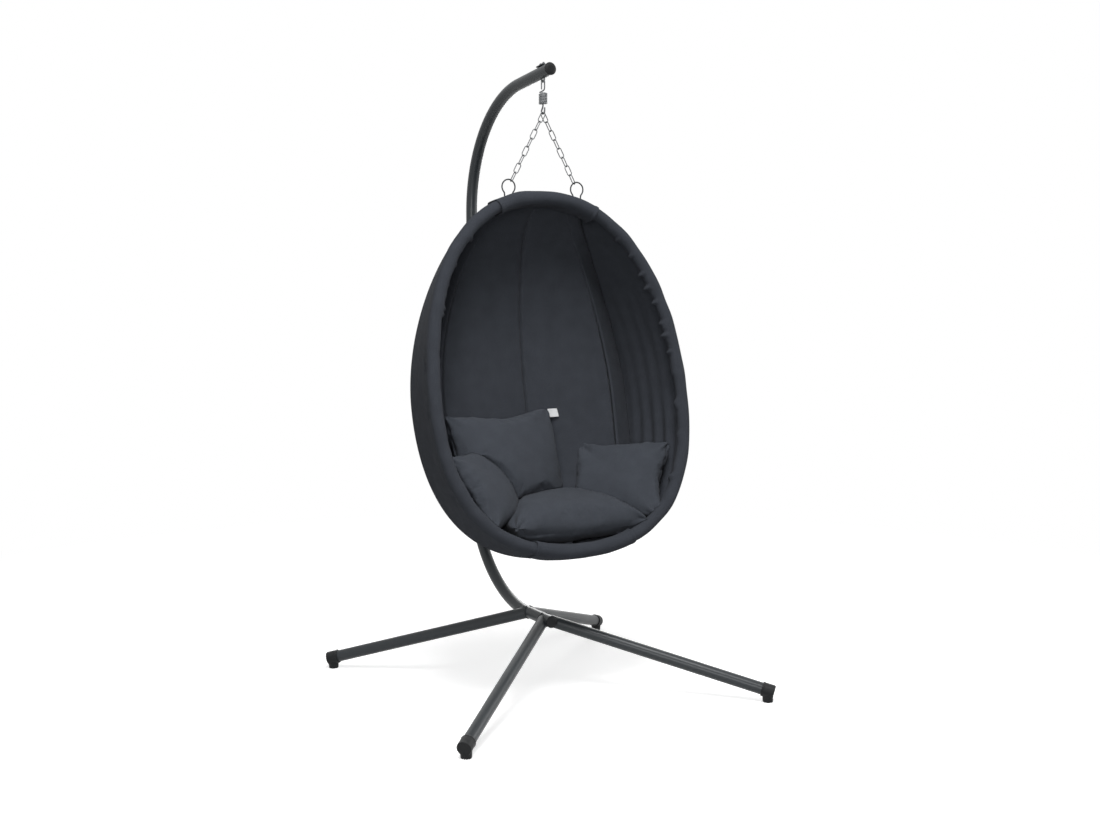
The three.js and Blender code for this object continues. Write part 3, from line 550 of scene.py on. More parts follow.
def bumped(tree, shader, height, strength, distance):
    bump = add(tree, "ShaderNodeBump", {"Height": height, "Strength": strength, "Distance": distance})
    tree.links.new(bump.outputs[0], shader.inputs["Normal"])


def woven(name, dark, light, pitch, unevenness, relief, rough, sheen):
    made, tree, shader = finish_of(name, Sheen_Weight=sheen, Sheen_Roughness=0.55, Specular_IOR_Level=0.01)
    cloth_map = add(tree, "ShaderNodeUVMap", uv_map="cloth").outputs[0]
    yarn = placed(tree, weave, {"Place": cloth_map, "Pitch": pitch, "Unevenness": unevenness})
    spread = add(tree, "ShaderNodeMapRange", {0: yarn["Shade"], 1: 0.3, 2: 0.7}).outputs[0]
    # base colour from the yarns' tone together with the painted shade in the weave's low points
    tree.links.new(mixed(tree, spread, dark, light), shader.inputs["Base Color"])
    tree.links.new(between(tree, yarn["Fuzz"], rough - 0.06, rough + 0.04), shader.inputs["Roughness"])
    bumped(tree, shader, yarn["Height"], 0.6, relief)
    return made


def coated(name, dark, light, bumps, cells, relief, rough, worn, **constants):
    made, tree, shader = finish_of(name, **constants)
    place = add(tree, "ShaderNodeTexCoord").outputs["Object"]
    skin = placed(tree, grain, {"Place": place, "Bumps per metre": bumps, "Cells": cells})
    used = placed(tree, wear, {"Place": place, "Spots per metre": 70.0, "Amount": worn})
    base = mixed(tree, skin["Tone"], dark, light)
    dusty = mixed(tree, used["Dust"], base, colour(150, 152, 152))
    tree.links.new(dusty, shader.inputs["Base Color"])
    rubbed = maths(tree, "SUBTRACT", between(tree, skin["Tone"], rough - 0.05, rough + 0.07), used["Rubbed"])
    tree.links.new(rubbed, shader.inputs["Roughness"])
    bumped(tree, shader, skin["Height"], 0.5, relief)
    return made


def plated(name, dull, bright, rough, metal):
    made, tree, shader = finish_of(name, Metallic=metal)
    place = add(tree, "ShaderNodeTexCoord").outputs["Object"]
    skin = placed(tree, grain, {"Place": place, "Bumps per metre": 1500.0, "Cells": 0.35})
    used = placed(tree, wear, {"Place": place, "Spots per metre": 210.0, "Amount": 0.6})
    spotted = maths(tree, "ADD", skin["Tone"], used["Rubbed"])
    tree.links.new(mixed(tree, spotted, bright, dull), shader.inputs["Base Color"])
    tree.links.new(between(tree, spotted, rough - 0.08, rough + 0.16), shader.inputs["Roughness"])
    bumped(tree, shader, skin["Height"], 0.35, plated_relief)
    return made


paint = coated("anthracite_powder_coat", colour(39, 43, 46), colour(48, 52, 55), 650.0, 0.15,
               paint_relief, 0.44, 0.05, Specular_IOR_Level=0.24, Coat_Weight=0.16, Coat_Roughness=0.16)
plastic = coated("black_moulded_plastic", colour(13, 14, 16), colour(21, 23, 25), 1500.0, 0.8,
                 plastic_relief, 0.52, 0.12, Specular_IOR_Level=0.2)
zinc = plated("zinc_plated_wire", colour(84, 86, 88), colour(112, 114, 116), 0.46, 0.60)
# a lighter copy of the zinc finish, for the bolt and the spring
lighter_zinc = plated("new_zinc_plated_wire", colour(118, 120, 122), colour(134, 136, 138), 0.52, 0.40)
dark_steel = plated("dark_steel", colour(34, 36, 38), colour(50, 53, 56), 0.48, 0.25)
cover_cloth = woven("anthracite_cover_cloth", colour(52, 55, 60), colour(68, 71, 78), weave_pitch,
                    0.45, weave_relief, 0.90, 0.03)
cushion_cloth = woven("anthracite_cushion_cloth", colour(58, 61, 67), colour(74, 78, 85),
                      cushion_weave_pitch, 0.35, weave_relief, 0.92, 0.04)
ribbon = woven("pale_satin_ribbon", colour(214, 216, 218), colour(238, 239, 240), ribbon_pitch,
               0.15, weave_relief, 0.62, 0.05)
thread = coated("anthracite_thread", colour(34, 37, 40), colour(48, 52, 56), 2600.0, 0.5,
                thread_relief, 0.85, 0.0, Sheen_Weight=0.15)


# Mesh building on grids of points
def tangents(points):
    """The way on at each point of a route."""
    after = np.concatenate([points[1:], points[-1:]])
    before = np.concatenate([points[:1], points[:-1]])
    steps = after - before
    return steps / np.linalg.norm(steps, axis=1)[:, None]


def lengths_along(points):
    steps = np.linalg.norm(np.diff(points, axis=0), axis=1)
    return np.concatenate([np.zeros(1), np.cumsum(steps)])


def sides_along(points, first):
    """Two directions square to a route at each point, carried along it without a twist."""
    ways = tangents(points)
    across = []
    side = np.asarray(first, float)
    for way in ways:
        side = side - way * (side @ way)
        side = side / np.linalg.norm(side)
        across.append(side)
    across = np.array(across)
    return across, np.cross(ways, across)


def around(line, across, up, turn, radius):
    """Rows of points round a line. The radius is one for all, one for each row, or one for each point."""
    radius = np.broadcast_to(np.asarray(radius, float).reshape(
        (-1, 1) if np.ndim(radius) == 1 else np.shape(radius) or (1, 1)), (len(line), len(turn)))
    cosine = (radius * np.cos(turn))[..., None]
    sine = (radius * np.sin(turn))[..., None]
    return line[:, None, :] + cosine * across[:, None, :] + sine * up[:, None, :]


def grid_mesh(name, rows, closed=False, ends=False):
    """A mesh over rows of points, with a UV map in metres. Closed rows come round to their start."""
    count, wide = rows.shape[:2]
    columns = wide if closed else wide - 1
    wrapped = np.concatenate([rows, rows[:, :1]], axis=1) if closed else rows
    along = np.linalg.norm(np.diff(wrapped, axis=0), axis=2).mean(axis=1)
    across = np.linalg.norm(np.diff(wrapped, axis=1), axis=2)
    u = np.concatenate([np.zeros(1), np.cumsum(along)])
    v = np.concatenate([np.zeros((count, 1)), np.cumsum(across, axis=1)], axis=1)
    i, j = np.meshgrid(np.arange(count - 1), np.arange(columns), indexing="ij")
    i, j = i.ravel(), j.ravel()
    beside = (j + 1) % wide
    faces = np.stack([i * wide + j, i * wide + beside, (i + 1) * wide + beside, (i + 1) * wide + j], axis=1)
    corners = np.stack([
        np.stack([u[i], v[i, j]], axis=1), np.stack([u[i], v[i, j + 1]], axis=1),
        np.stack([u[i + 1], v[i + 1, j + 1]], axis=1), np.stack([u[i + 1], v[i + 1, j]], axis=1),
    ], axis=1).reshape(-1, 2)
    polygons = faces.tolist()
    if ends:
        polygons.append(list(range(wide)))
        polygons.append(list(range((count - 1) * wide, count * wide)))
        last = corners[-1:].repeat(2 * wide, axis=0)
        corners = np.concatenate([corners, last])
    made = bpy.data.meshes.new(name)
    made.from_pydata(rows.reshape(-1, 3).tolist(), [], polygons)
    cloth_map = made.uv_layers.new(name="cloth")
    cloth_map.data.foreach_set("uv", corners.astype(np.float32).ravel())
    return made


def outward(mesh):
    """Faces of a closed mesh turned outwards."""
    work = bmesh.new()
    work.from_mesh(mesh)
    bmesh.ops.remove_doubles(work, verts=work.verts, dist=same_spot)
    bmesh.ops.recalc_face_normals(work, faces=work.faces)
    work.to_mesh(mesh)
    work.free()
    return mesh


def loose(name, data):
    made = bpy.data.objects.new(name, data)
    bpy.context.scene.collection.objects.link(made)
    return made


def piece(mesh, material, body, stands_for=(), corner=crease_turn):
    """A finished piece that moves with a body and stands for some of the frame's nodes."""
    made = loose(mesh.name, mesh)
    mesh.materials.clear()
    mesh.materials.append(material)
    mesh.shade_smooth()
    if corner:
        mesh.set_sharp_from_angle(angle=corner)
    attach(made, body)
    if stands_for:
        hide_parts(*stands_for)
    return made


def joined(name, meshes):
    """Several meshes as one."""
    work = bmesh.new()
    for mesh in meshes:
        work.from_mesh(mesh)
    made = bpy.data.meshes.new(name)
    work.to_mesh(made)
    work.free()
    return made


def evaluated(name, base):
    """What an object's modifiers make of it, as a plain mesh, and the object gone."""
    graph = bpy.context.evaluated_depsgraph_get()
    made = bpy.data.meshes.new_from_object(base.evaluated_get(graph), depsgraph=graph)
    made.name = name
    bpy.data.objects.remove(base)
    return made


def remeshed(name, mesh, voxel, rounds):
    """A mesh made anew in even small faces and smoothed."""
    work = loose(name, mesh)
    remesh = work.modifiers.new("even", "REMESH")
    remesh.mode = "VOXEL"
    remesh.voxel_size = voxel
    smooth = work.modifiers.new("smooth", "SMOOTH")
    smooth.factor = smooth_share
    smooth.iterations = rounds
    made = evaluated(name, work)
    made.materials.clear()
    return made


def thickened(made, thickness):
    wall = made.modifiers.new("cloth", "SOLIDIFY")
    wall.thickness = thickness
    wall.offset = 0


def blended(line, first, last, rounds):
    """A line whose points from the first up to the last are drawn towards their neighbours."""
    for _ in range(rounds):
        near = line[first - 1:last - 1] + 2 * line[first:last] + line[first + 1:last + 1]
        line[first:last] = near / 4
    return line


def evenly(line, count, closed=False):
    """A line's points set out anew at even steps, and the length up to each."""
    if closed:
        line = np.concatenate([line, line[:1]])
    run = lengths_along(line)
    even = np.linspace(0, run[-1], count, endpoint=not closed)
    return np.stack([np.interp(even, run, part) for part in line.T], axis=1), even


def whole_turn(sides):
    return np.linspace(0, full_turn, sides, endpoint=False)


def rod(name, line, radius, sides, first=(1, 0, 0), round_ends=True):
    """A round rod along a line, with rounded or flat ends."""
    line = np.asarray(line, float)
    across, up = sides_along(line, first)
    radius = np.broadcast_to(np.asarray(radius, float), (len(line),)).copy()
    if round_ends:
        ways = tangents(line)
        lean = np.linspace(0, right_angle, 6)[1:]
        start = [line[0] - ways[0] * radius[0] * math.sin(turn) for turn in lean[::-1]]
        end = [line[-1] + ways[-1] * radius[-1] * math.sin(turn) for turn in lean]
        thin = np.cos(lean)
        thin[-1] = rod_end_share
        line = np.concatenate([start, line, end])
        across = np.concatenate([[across[0]] * len(lean), across, [across[-1]] * len(lean)])
        up = np.concatenate([[up[0]] * len(lean), up, [up[-1]] * len(lean)])
        radius = np.concatenate([radius[0] * thin[::-1], radius, radius[-1] * thin])
    rows = around(line, across, up, whole_turn(sides), radius)
    return outward(grid_mesh(name, rows, closed=True, ends=True))


def turned(name, profile, sides, place=Matrix.Identity(4)):
    """A round body from a profile of radius and height, closed at both ends."""
    turn = whole_turn(sides)
    rows = np.array([
        np.stack([radius * np.cos(turn), radius * np.sin(turn), np.full(sides, height)], axis=1)
        for radius, height in profile
    ])
    mesh = grid_mesh(name, rows, closed=True, ends=True)
    mesh.transform(place)
    return outward(mesh)


def rounded(profile, radius, steps=5):
    """A profile with its inner corners rounded."""
    points = [Vector(point) for point in profile]
    made = [points[0]]
    for before, corner, after in zip(points, points[1:], points[2:]):
        into = corner - before
        out = after - corner
        reach = min(radius, into.length / 2, out.length / 2)
        start = corner - into.normalized() * reach
        end = corner + out.normalized() * reach
        for i in range(steps + 1):
            share = i / steps
            made.append(start.lerp(corner, share).lerp(corner.lerp(end, share), share))
    made.append(points[-1])
    return [tuple(point) for point in made]


def arc(centre, radius, start, end, steps, across, up):
    turn = np.linspace(start, end, steps + 1)[:, None]
    return np.asarray(centre) + radius * (np.cos(turn) * across + np.sin(turn) * up)


def mottle(points, size, seed):
    """A smooth random field over points, mostly from -1 to 1, with features of the given size."""
    maker = np.random.default_rng(seed)
    ways = maker.normal(size=(field_waves, 3))
    ways /= np.linalg.norm(ways, axis=1)[:, None]
    speeds = full_turn / size * maker.uniform(*field_speed_shares, field_waves)
    starts = maker.uniform(0, full_turn, field_waves)
    field = sum(np.sin(points @ way * speed + start) for way, speed, start in zip(ways, speeds, starts))
    return field / math.sqrt(field_waves / 2) / field_peak


def along_axes(first, second):
    """Points for a random field from two coordinates."""
    first, second = np.broadcast_arrays(first, second)
    return np.stack([first, second, np.zeros_like(first)], axis=-1)


def field_over(first, second, field, seed_step=0):
    """A random field over two coordinates, by its row of stretches, size and seed."""
    first_stretch, second_stretch, size, seed = field
    return mottle(along_axes(first * first_stretch, second * second_stretch), size, seed + seed_step)


def bell(distance, width):
    return np.exp(-((distance / width) ** 2))


# Pole
upper_centre = np.array([0.0, pole_back - pole_upper_radius, pole_bend_height])
lower_centre = np.array([0.0, pole_back - pole_lower_radius, pole_foot_height + pole_lower_radius])
lower_arc = arc(lower_centre, pole_lower_radius, -right_angle, 0, pole_arc_steps, axis_y, axis_z)
upper_turn = right_angle - pole_tip_rise
upper_arc = arc(upper_centre, pole_upper_radius, 0, upper_turn, pole_arc_steps, axis_y, axis_z)
tip_way = np.array([0.0, -math.cos(pole_tip_rise), math.sin(pole_tip_rise)])
foot_end = np.array([0.0, -pole_foot_front, pole_foot_height])


def on_tip_line(y):
    return upper_arc[-1] + tip_way * (y - upper_arc[-1][1]) / tip_way[1]


tip_end = on_tip_line(-pole_tip_front)
pole_line = np.concatenate([[foot_end], lower_arc, upper_arc, [tip_end]])
pole_mesh = rod("stand_pole", pole_line, tube_radius, tube_sides, round_ends=False)
piece(pole_mesh, paint, "stand", ["pole"])


def looking(way):
    """A turn that brings +Z to a direction."""
    return Vector((0, 0, 1)).rotation_difference(Vector(way)).to_matrix().to_4x4()


def end_cap(name, place, way, node):
    rim_top = fit_gap + cap_rim_thickness
    rim = rounded([
        (cap_plug_radius, -cap_plug_depth), (cap_plug_radius, fit_gap), (cap_rim_radius, fit_gap),
        (cap_rim_radius, rim_top), (cap_rim_radius / 2, rim_top + cap_dome_height),
        (cap_rim_radius / end_pinch, rim_top + cap_dome_height),
    ], cap_round)
    spot = Matrix.Translation(Vector(place)) @ looking(way)
    piece(turned(name, rim, tube_sides, spot), plastic, "stand", [node])


end_cap("pole_foot_plug", foot_end, (0, -1, 0), "pole_foot_cap")
end_cap("pole_tip_plug", tip_end, tip_way, "pole_tip_cap")


# Legs, coped round the pole and welded to it
def leg_frame(side, root_y, foot_y):
    root = Vector((0, root_y, pole_foot_height))
    foot = Vector((side * foot_half_spacing, foot_y, foot_axis_height))
    along = (foot - root).normalized()
    level = Vector((0, 0, 1)).cross(along).normalized()
    turn = Matrix((level, along.cross(level), along)).transposed().to_4x4()
    return Matrix.Translation(root) @ turn, (foot - root).length + leg_past_foot


def round_leg(axes, turn, radius):
    """Points round the leg's axis, from that axis."""
    return radius * (np.cos(turn)[:, None] * axes[:, 0] + np.sin(turn)[:, None] * axes[:, 1])


def cope(axes, turn):
    """Where the leg's surface meets the pole's, as a height above the leg's root."""
    rim = round_leg(axes, turn, tube_radius)
    way = axes[:, 2]
    a = way[0] ** 2 + way[2] ** 2
    b = 2 * (rim[:, 0] * way[0] + rim[:, 2] * way[2])
    c = rim[:, 0] ** 2 + rim[:, 2] ** 2 - tube_radius ** 2
    return (-b + np.sqrt(np.maximum(b ** 2 - 4 * a * c, 0))) / (2 * a)


def foot_mesh(name, place, length):
    """An end shoe: a closed sleeve round the leg, and a boss down to the floor with a slotted sole."""
    outside = tube_radius + fit_gap + foot_wall
    end = length + fit_gap + foot_wall
    start = end - foot_sleeve_length
    sleeve = rounded([
        (tube_radius / 2, start + foot_lip), (outside + foot_lip, start),
        (outside + foot_lip, start + foot_lip_length), (outside, start + foot_lip_length + foot_lip),
        (outside, end), (tube_radius / end_pinch, end),
    ], foot_round)
    boss_top = place @ Vector((0, 0, end - foot_boss_radius - foot_wall))
    boss = rounded([
        (foot_sole_radius / end_pinch, 0), (foot_sole_radius, 0),
        (foot_boss_radius, foot_axis_height), (foot_boss_radius / end_pinch, foot_axis_height),
    ], foot_round / 3)
    boss_place = Matrix.Translation((boss_top.x, boss_top.y, 0))
    both = joined(name, [
        turned("sleeve", sleeve, tube_sides, place), turned("boss", boss, tube_sides, boss_place),
    ])
    mesh = remeshed(name, both, foot_grain, foot_smooth_rounds)
    heading = place.to_3x3() @ Vector((0, 0, 1))
    turn = Matrix.Rotation(math.atan2(heading.y, heading.x), 4, "Z")
    for i in range(foot_slot_count):
        share = (i + 1) / (foot_slot_count + 1)
        across = (2 * share - 1) * foot_sole_radius
        groove_into(mesh, Vector((boss_top.x, boss_top.y, 0)), turn, across)
    return mesh


def groove_into(mesh, centre, turn, across):
    """A slot across a foot's sole."""
    back = (Matrix.Translation(centre) @ turn).inverted()
    for vertex in mesh.vertices:
        local = back @ vertex.co
        if vertex.co.z < foot_slot_depth and abs(local.y - across) < foot_slot_width / 2:
            vertex.co.z = foot_slot_depth


for name, side, root_y, foot_y in (
    ("front_left", -1, -front_leg_root, -foot_reach), ("front_right", 1, -front_leg_root, -foot_reach),
    ("rear_left", -1, rear_leg_root, foot_reach), ("rear_right", 1, rear_leg_root, foot_reach),
):
    place, length = leg_frame(side, root_y, foot_y)
    turn = whole_turn(tube_sides)
    axes = np.array(place.to_3x3())
    root = np.array(place.translation)
    levels = np.linspace(0, 1, leg_levels)[:, None]
    heights = cope(axes, turn)[None, :] * (1 - levels) + length * levels
    rows = root + round_leg(axes, turn, tube_radius)[None, :, :] + heights[..., None] * axes[:, 2]
    leg_mesh = outward(grid_mesh(f"{name}_stand_leg", rows, closed=True, ends=True))
    piece(leg_mesh, paint, "stand", [f"{name}_leg"])
    fine = whole_turn(6 * weld_ripples)
    seam_radius = tube_radius + weld_radius / 3
    seam = root + (round_leg(axes, fine, seam_radius) + cope(axes, fine)[:, None] * axes[:, 2])
    seam = np.concatenate([seam, seam[:1]])
    ripple = 1 + weld_ripple_share * np.sin(weld_ripples * np.linspace(0, full_turn, len(seam)))
    weld_radii = weld_radius * ripple
    weld = rod(f"{name}_weld", seam, weld_radii, weld_sides, first=axes[:, 2], round_ends=False)
    piece(weld, paint, "stand", corner=None)
    shoe = foot_mesh(f"{name}_shoe", place, length)
    piece(shoe, plastic, "stand", [f"{name}_foot"], corner=None)

# Hanging bolt through the tip, with its saddle and nuts square to the sloping tube
bolt_reach = tube_radius + bolt_drop
bolt_seat = on_tip_line(-hang_forward + bolt_reach * math.sin(pole_tip_rise))
hang_height = bolt_seat[2] - bolt_reach * math.cos(pole_tip_rise)
bolt_place = Matrix.Translation(Vector(bolt_seat)) @ Matrix.Rotation(-pole_tip_rise, 4, "X")
saddle_bottom = tube_radius + fit_gap
nut_bottom = saddle_bottom + saddle_thickness + fit_gap
bolt_top = nut_bottom + nut_height + bolt_thread_stickout


def threaded(line, length):
    """Radii of a wire along a line, with ridges on both ends."""
    so_far = lengths_along(line)
    from_end = np.minimum(so_far, so_far[-1] - so_far)
    ridges = np.abs(((from_end / thread_pitch) % 1) - 0.5) * 2
    return bolt_wire_radius - np.where(from_end < length, thread_depth * ridges, 0)


bolt_centre = np.array([0.0, 0.0, bolt_half_spacing - bolt_reach])
leg_heights = np.arange(bolt_top, bolt_centre[2], -thread_pitch / 4)
leg_places = np.full_like(leg_heights, bolt_half_spacing)
near_leg = np.stack([np.zeros_like(leg_heights), leg_places, leg_heights], axis=1)
bend = arc(bolt_centre, bolt_half_spacing, 0, -math.pi, 40, axis_y, axis_z)
far_leg = near_leg[::-1] * np.array([1, -1, 1])
bolt_line = np.concatenate([near_leg, bend, far_leg])
bolt_mesh = rod("u_bolt", bolt_line, threaded(bolt_line, thread_length), wire_sides, round_ends=False)
bolt_mesh.transform(bolt_place)
piece(bolt_mesh, lighter_zinc, "stand", ["hanging_bolt"])


def plate_mesh(name, width, length, thickness, corner, edge):
    """A plate with rounded corners and soft edges, standing on the level of its underside."""
    outline = []
    for quarter in range(4):
        start = quarter * right_angle
        x = (width / 2 - corner) * (1 if quarter in (0, 3) else -1)
        y = (length / 2 - corner) * (1 if quarter in (0, 1) else -1)
        for turn in np.linspace(start, start + right_angle, 9):
            outline.append((x, y, math.cos(turn), math.sin(turn)))
    outline = np.array(outline)
    rows = []
    soft = np.linspace(0, right_angle, 5)
    levels = [(corner - edge + edge * math.sin(t), edge - edge * math.cos(t)) for t in soft]
    levels += [(reach, thickness - height) for reach, height in reversed(levels)]
    for reach, height in levels:
        flat = outline[:, :2] + reach * outline[:, 2:]
        rows.append(np.column_stack([flat, np.full(len(flat), height)]))
    return outward(grid_mesh(name, np.array(rows), closed=True, ends=True))


saddle = plate_mesh(
    "saddle_plate", saddle_width, saddle_length, saddle_thickness, saddle_corner, saddle_round,
)
saddle.transform(bolt_place @ Matrix.Translation((0, 0, saddle_bottom)))
piece(saddle, paint, "stand", ["hanging_saddle"])


def nut_mesh(name):
    """A hexagonal nut with chamfered ends."""
    turn = whole_turn(nut_sides)
    flat = nut_across_radius * math.cos(math.pi / 6)
    off_flat = (turn % (math.pi / 3)) - math.pi / 6
    edge = flat / np.cos(off_flat)
    chamfer = (edge - flat * nut_flat_share) * math.tan(nut_chamfer_turn)
    bore = np.full(nut_sides, bolt_wire_radius + fit_gap)
    face = np.full(nut_sides, flat * nut_flat_share)
    low = np.zeros(nut_sides)
    high = np.full(nut_sides, nut_height)
    lines = [
        (bore, low), (face, low), (edge, chamfer), (edge, nut_height - chamfer), (face, high), (bore, high),
        (bore, low),
    ]
    rows = [np.stack([r * np.cos(turn), r * np.sin(turn), z], axis=1) for r, z in lines]
    return outward(grid_mesh(name, np.array(rows), closed=True))


for name, side in (("front", -1), ("rear", 1)):
    nut = nut_mesh(f"{name}_hex_nut")
    nut.transform(bolt_place @ Matrix.Translation((0, side * bolt_half_spacing, nut_bottom)))
    piece(nut, zinc, "stand", [f"{name}_nut"], corner=nut_crease_turn)

# Spring, plug and hook hang straight down from the bolt's bend
hang_point = np.array([0.0, -hang_forward, hang_height])
hook_top_radius = bolt_wire_radius + spring_wire_radius + fit_gap
curl_pitch = 2 * spring_wire_radius + spring_curl_gap


def spring_line():
    tail = np.array([[-hook_top_radius, 0, height] for height in np.linspace(-hook_tail_drop, 0, 14)])
    over = arc(np.zeros(3), hook_top_radius, math.pi, 0, curl_steps, axis_x, axis_z)
    fall = np.array([[hook_top_radius, 0, height] for height in np.linspace(0, -hook_tail_drop, 14)])
    share = np.linspace(0, 1, curl_steps // 2)[1:]
    turn = math.pi * share
    radius = hook_top_radius + (spring_coil_radius - hook_top_radius) * share
    height = -hook_tail_drop - (spring_top_drop - hook_tail_drop) * share
    lead = np.stack([radius * np.cos(turn), radius * np.sin(turn), height], axis=1)
    turn = np.linspace(0, full_turn * spring_curls, spring_curls * curl_steps)[1:]
    coil = np.stack([
        -spring_coil_radius * np.cos(turn), -spring_coil_radius * np.sin(turn),
        -spring_top_drop - curl_pitch * turn / full_turn,
    ], axis=1)
    line = np.concatenate([tail[:-1], over, fall[1:], lead, coil])
    first = len(tail) + len(over) + len(fall) - lead_blend_points
    return blended(line, first, first + len(lead) + 2 * lead_blend_points, lead_blend_rounds)


coil_bottom_drop = spring_top_drop + curl_pitch * spring_curls
coil_bottom = hang_point - axis_z * coil_bottom_drop
spring_mesh = rod("coil_spring", hang_point + spring_line(), spring_wire_radius, wire_sides, first=(0, 1, 0))
spring = loose("coil_spring", spring_mesh)
spring_mesh.materials.append(lighter_zinc)
spring_mesh.shade_smooth()
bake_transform(spring)
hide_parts("spring")

plug_profile = rounded([
    (hook_wire_radius + fit_gap, 0), (plug_radius, 0), (plug_radius, plug_height),
    (hook_wire_radius + fit_gap, plug_height),
], wire_round)
plug_place = Matrix.Translation(Vector(coil_bottom))
plug_mesh = turned("spring_plug", plug_profile, plug_sides, plug_place)
piece(plug_mesh, zinc, "swivel_plug", ["swivel_plug"])

head_bottom = -coil_bottom_drop + plug_height + fit_gap
hook_centre = np.array([0.0, 0.0, -hook_bend_drop])
neck = np.array([0.0, 0.0, -hook_neck_drop])
hook_bend = arc(hook_centre, hook_bend_radius, 0, -math.pi, 40, axis_y, axis_z)
shank = np.linspace(np.array([0.0, 0.0, head_bottom + hook_head_height / 2]), neck, 10)
sway = np.linspace(neck, hook_bend[0], 14)[1:-1]
hook_tip = hook_bend[-1] + axis_z * np.linspace(0, hook_tip_rise, 6)[1:, None]
hook_line = np.concatenate([shank, sway, hook_bend, hook_tip])
blended(hook_line, hook_fixed_points, len(hook_line) - hook_fixed_points, hook_blend_rounds)
head_top = head_bottom + hook_head_height
head_profile = rounded([
    (hook_head_radius / end_pinch, head_bottom), (hook_head_radius, head_bottom),
    (hook_head_radius, head_top), (hook_head_radius / end_pinch, head_top),
], wire_round)
hook_mesh = joined("j_hook", [
    rod("hook_wire", hook_line, hook_wire_radius, hook_sides),
    turned("hook_head", head_profile, head_sides),
])
hook_mesh.transform(Matrix.Translation(Vector(hang_point)))
piece(hook_mesh, zinc, "hook", ["lower_hook"])

# Chains: one link repeated down each side, every second one turned
link_bar_radius = link_width / 2 - link_wire_radius
link_bar_length = link_length - 2 * link_wire_radius
link_step = link_bar_length - 2 * link_wire_radius - fit_gap
first_bar = hook_wire_radius + link_wire_radius + fit_gap
last_bar = ring_wire_radius + link_wire_radius + fit_gap
chain_length = link_bar_length + (link_count - 1) * link_step - first_bar - last_bar
chain_top = -hook_bend_drop - hook_bend_radius
chain_lean = math.asin(ring_half_spacing / (ring_radius + chain_length))
ring_centre_drop = (ring_radius + chain_length) * math.cos(chain_lean) - chain_top


def link_mesh():
    """A link of bent wire, thicker at the weld in the middle of one of its sides."""
    bend = link_bar_length / 2 - link_bar_radius
    top = arc(axis_z * bend, link_bar_radius, 0, math.pi, 14, axis_x, axis_z)
    low = arc(-axis_z * bend, link_bar_radius, math.pi, full_turn, 14, axis_x, axis_z)
    straight = np.linspace(0, 1, 8)[1:-1, None]
    line = np.concatenate([
        top, top[-1] + (low[0] - top[-1]) * straight, low, low[-1] + (top[0] - low[-1]) * straight,
    ])
    weld = bell(line[:, 2], link_wire_radius) * (line[:, 0] > 0)
    radius = link_wire_radius * (1 + link_weld_share * weld)
    ways = np.roll(line, -1, axis=0) - np.roll(line, 1, axis=0)
    ways /= np.linalg.norm(ways, axis=1)[:, None]
    across = np.broadcast_to(axis_y, line.shape)
    rows = around(line, across, np.cross(ways, across), whole_turn(link_sides), radius)
    rows = np.concatenate([rows, rows[:1]])
    return outward(grid_mesh("chain_link", rows, closed=True))


def group_of(name, kinds):
    """A group of geometry nodes with input sockets, and what a modifier calls each of them."""
    tree = bpy.data.node_groups.new(name, "GeometryNodeTree")
    called = {}
    for socket, kind in kinds.items():
        made = tree.interface.new_socket(name=socket, in_out="INPUT", socket_type=f"NodeSocket{kind}")
        called[socket] = made.identifier
    tree.interface.new_socket(name="Made", in_out="OUTPUT", socket_type="NodeSocketGeometry")
    return tree, called, tree.nodes.new("NodeGroupInput").outputs


def set_out(tree, given, pattern, points, turns):
    """One object repeated at points, in its finish, as what a group makes."""
    shape = add(tree, "GeometryNodeObjectInfo", {"Object": pattern}).outputs["Geometry"]
    repeated = add(tree, "GeometryNodeInstanceOnPoints", {
        "Points": points, "Instance": shape, "Rotation": turns,
    })
    real = add(tree, "GeometryNodeRealizeInstances", {0: repeated.outputs[0]})
    finished = add(tree, "GeometryNodeSetMaterial", {0: real.outputs[0], "Material": given["Finish"]})
    tree.links.new(finished.outputs[0], tree.nodes.new("NodeGroupOutput").inputs[0])


def made_by(name, base, tree, called, values):
    """What a group of geometry nodes makes of a mesh, with values for its sockets."""
    work = loose(name, base)
    nodes = work.modifiers.new("group", "NODES")
    nodes.node_group = tree
    for socket, value in values.items():
        nodes[called[socket]] = value
    work.update_tag()
    return evaluated(name, work)


def chain_tree(link):
    """Links set out one step apart along a line, each turned a quarter from the last."""
    tree, called, given = group_of("chain", {
        "Line": "Geometry", "Links": "Int", "Step": "Vector", "Quarter turn": "Float", "Lean": "Rotation",
        "Finish": "Material",
    })
    line = add(tree, "GeometryNodeMeshLine", {"Count": given["Links"], "Offset": given["Step"]})
    index = tree.nodes.new("GeometryNodeInputIndex").outputs[0]
    odd = maths(tree, "MODULO", index, 2.0)
    twist = maths(tree, "MULTIPLY", odd, given["Quarter turn"])
    spin = add(tree, "ShaderNodeCombineXYZ", {2: twist}).outputs[0]
    spun = add(tree, "FunctionNodeEulerToRotation", {0: spin}).outputs[0]
    leaned = add(tree, "FunctionNodeRotateRotation", {0: given["Lean"], 1: spun}, rotation_space="LOCAL")
    set_out(tree, given, link, line.outputs[0], leaned.outputs[0])
    return tree, called


link_pattern = loose("link_pattern", link_mesh())
links_tree, links_called = chain_tree(link_pattern)


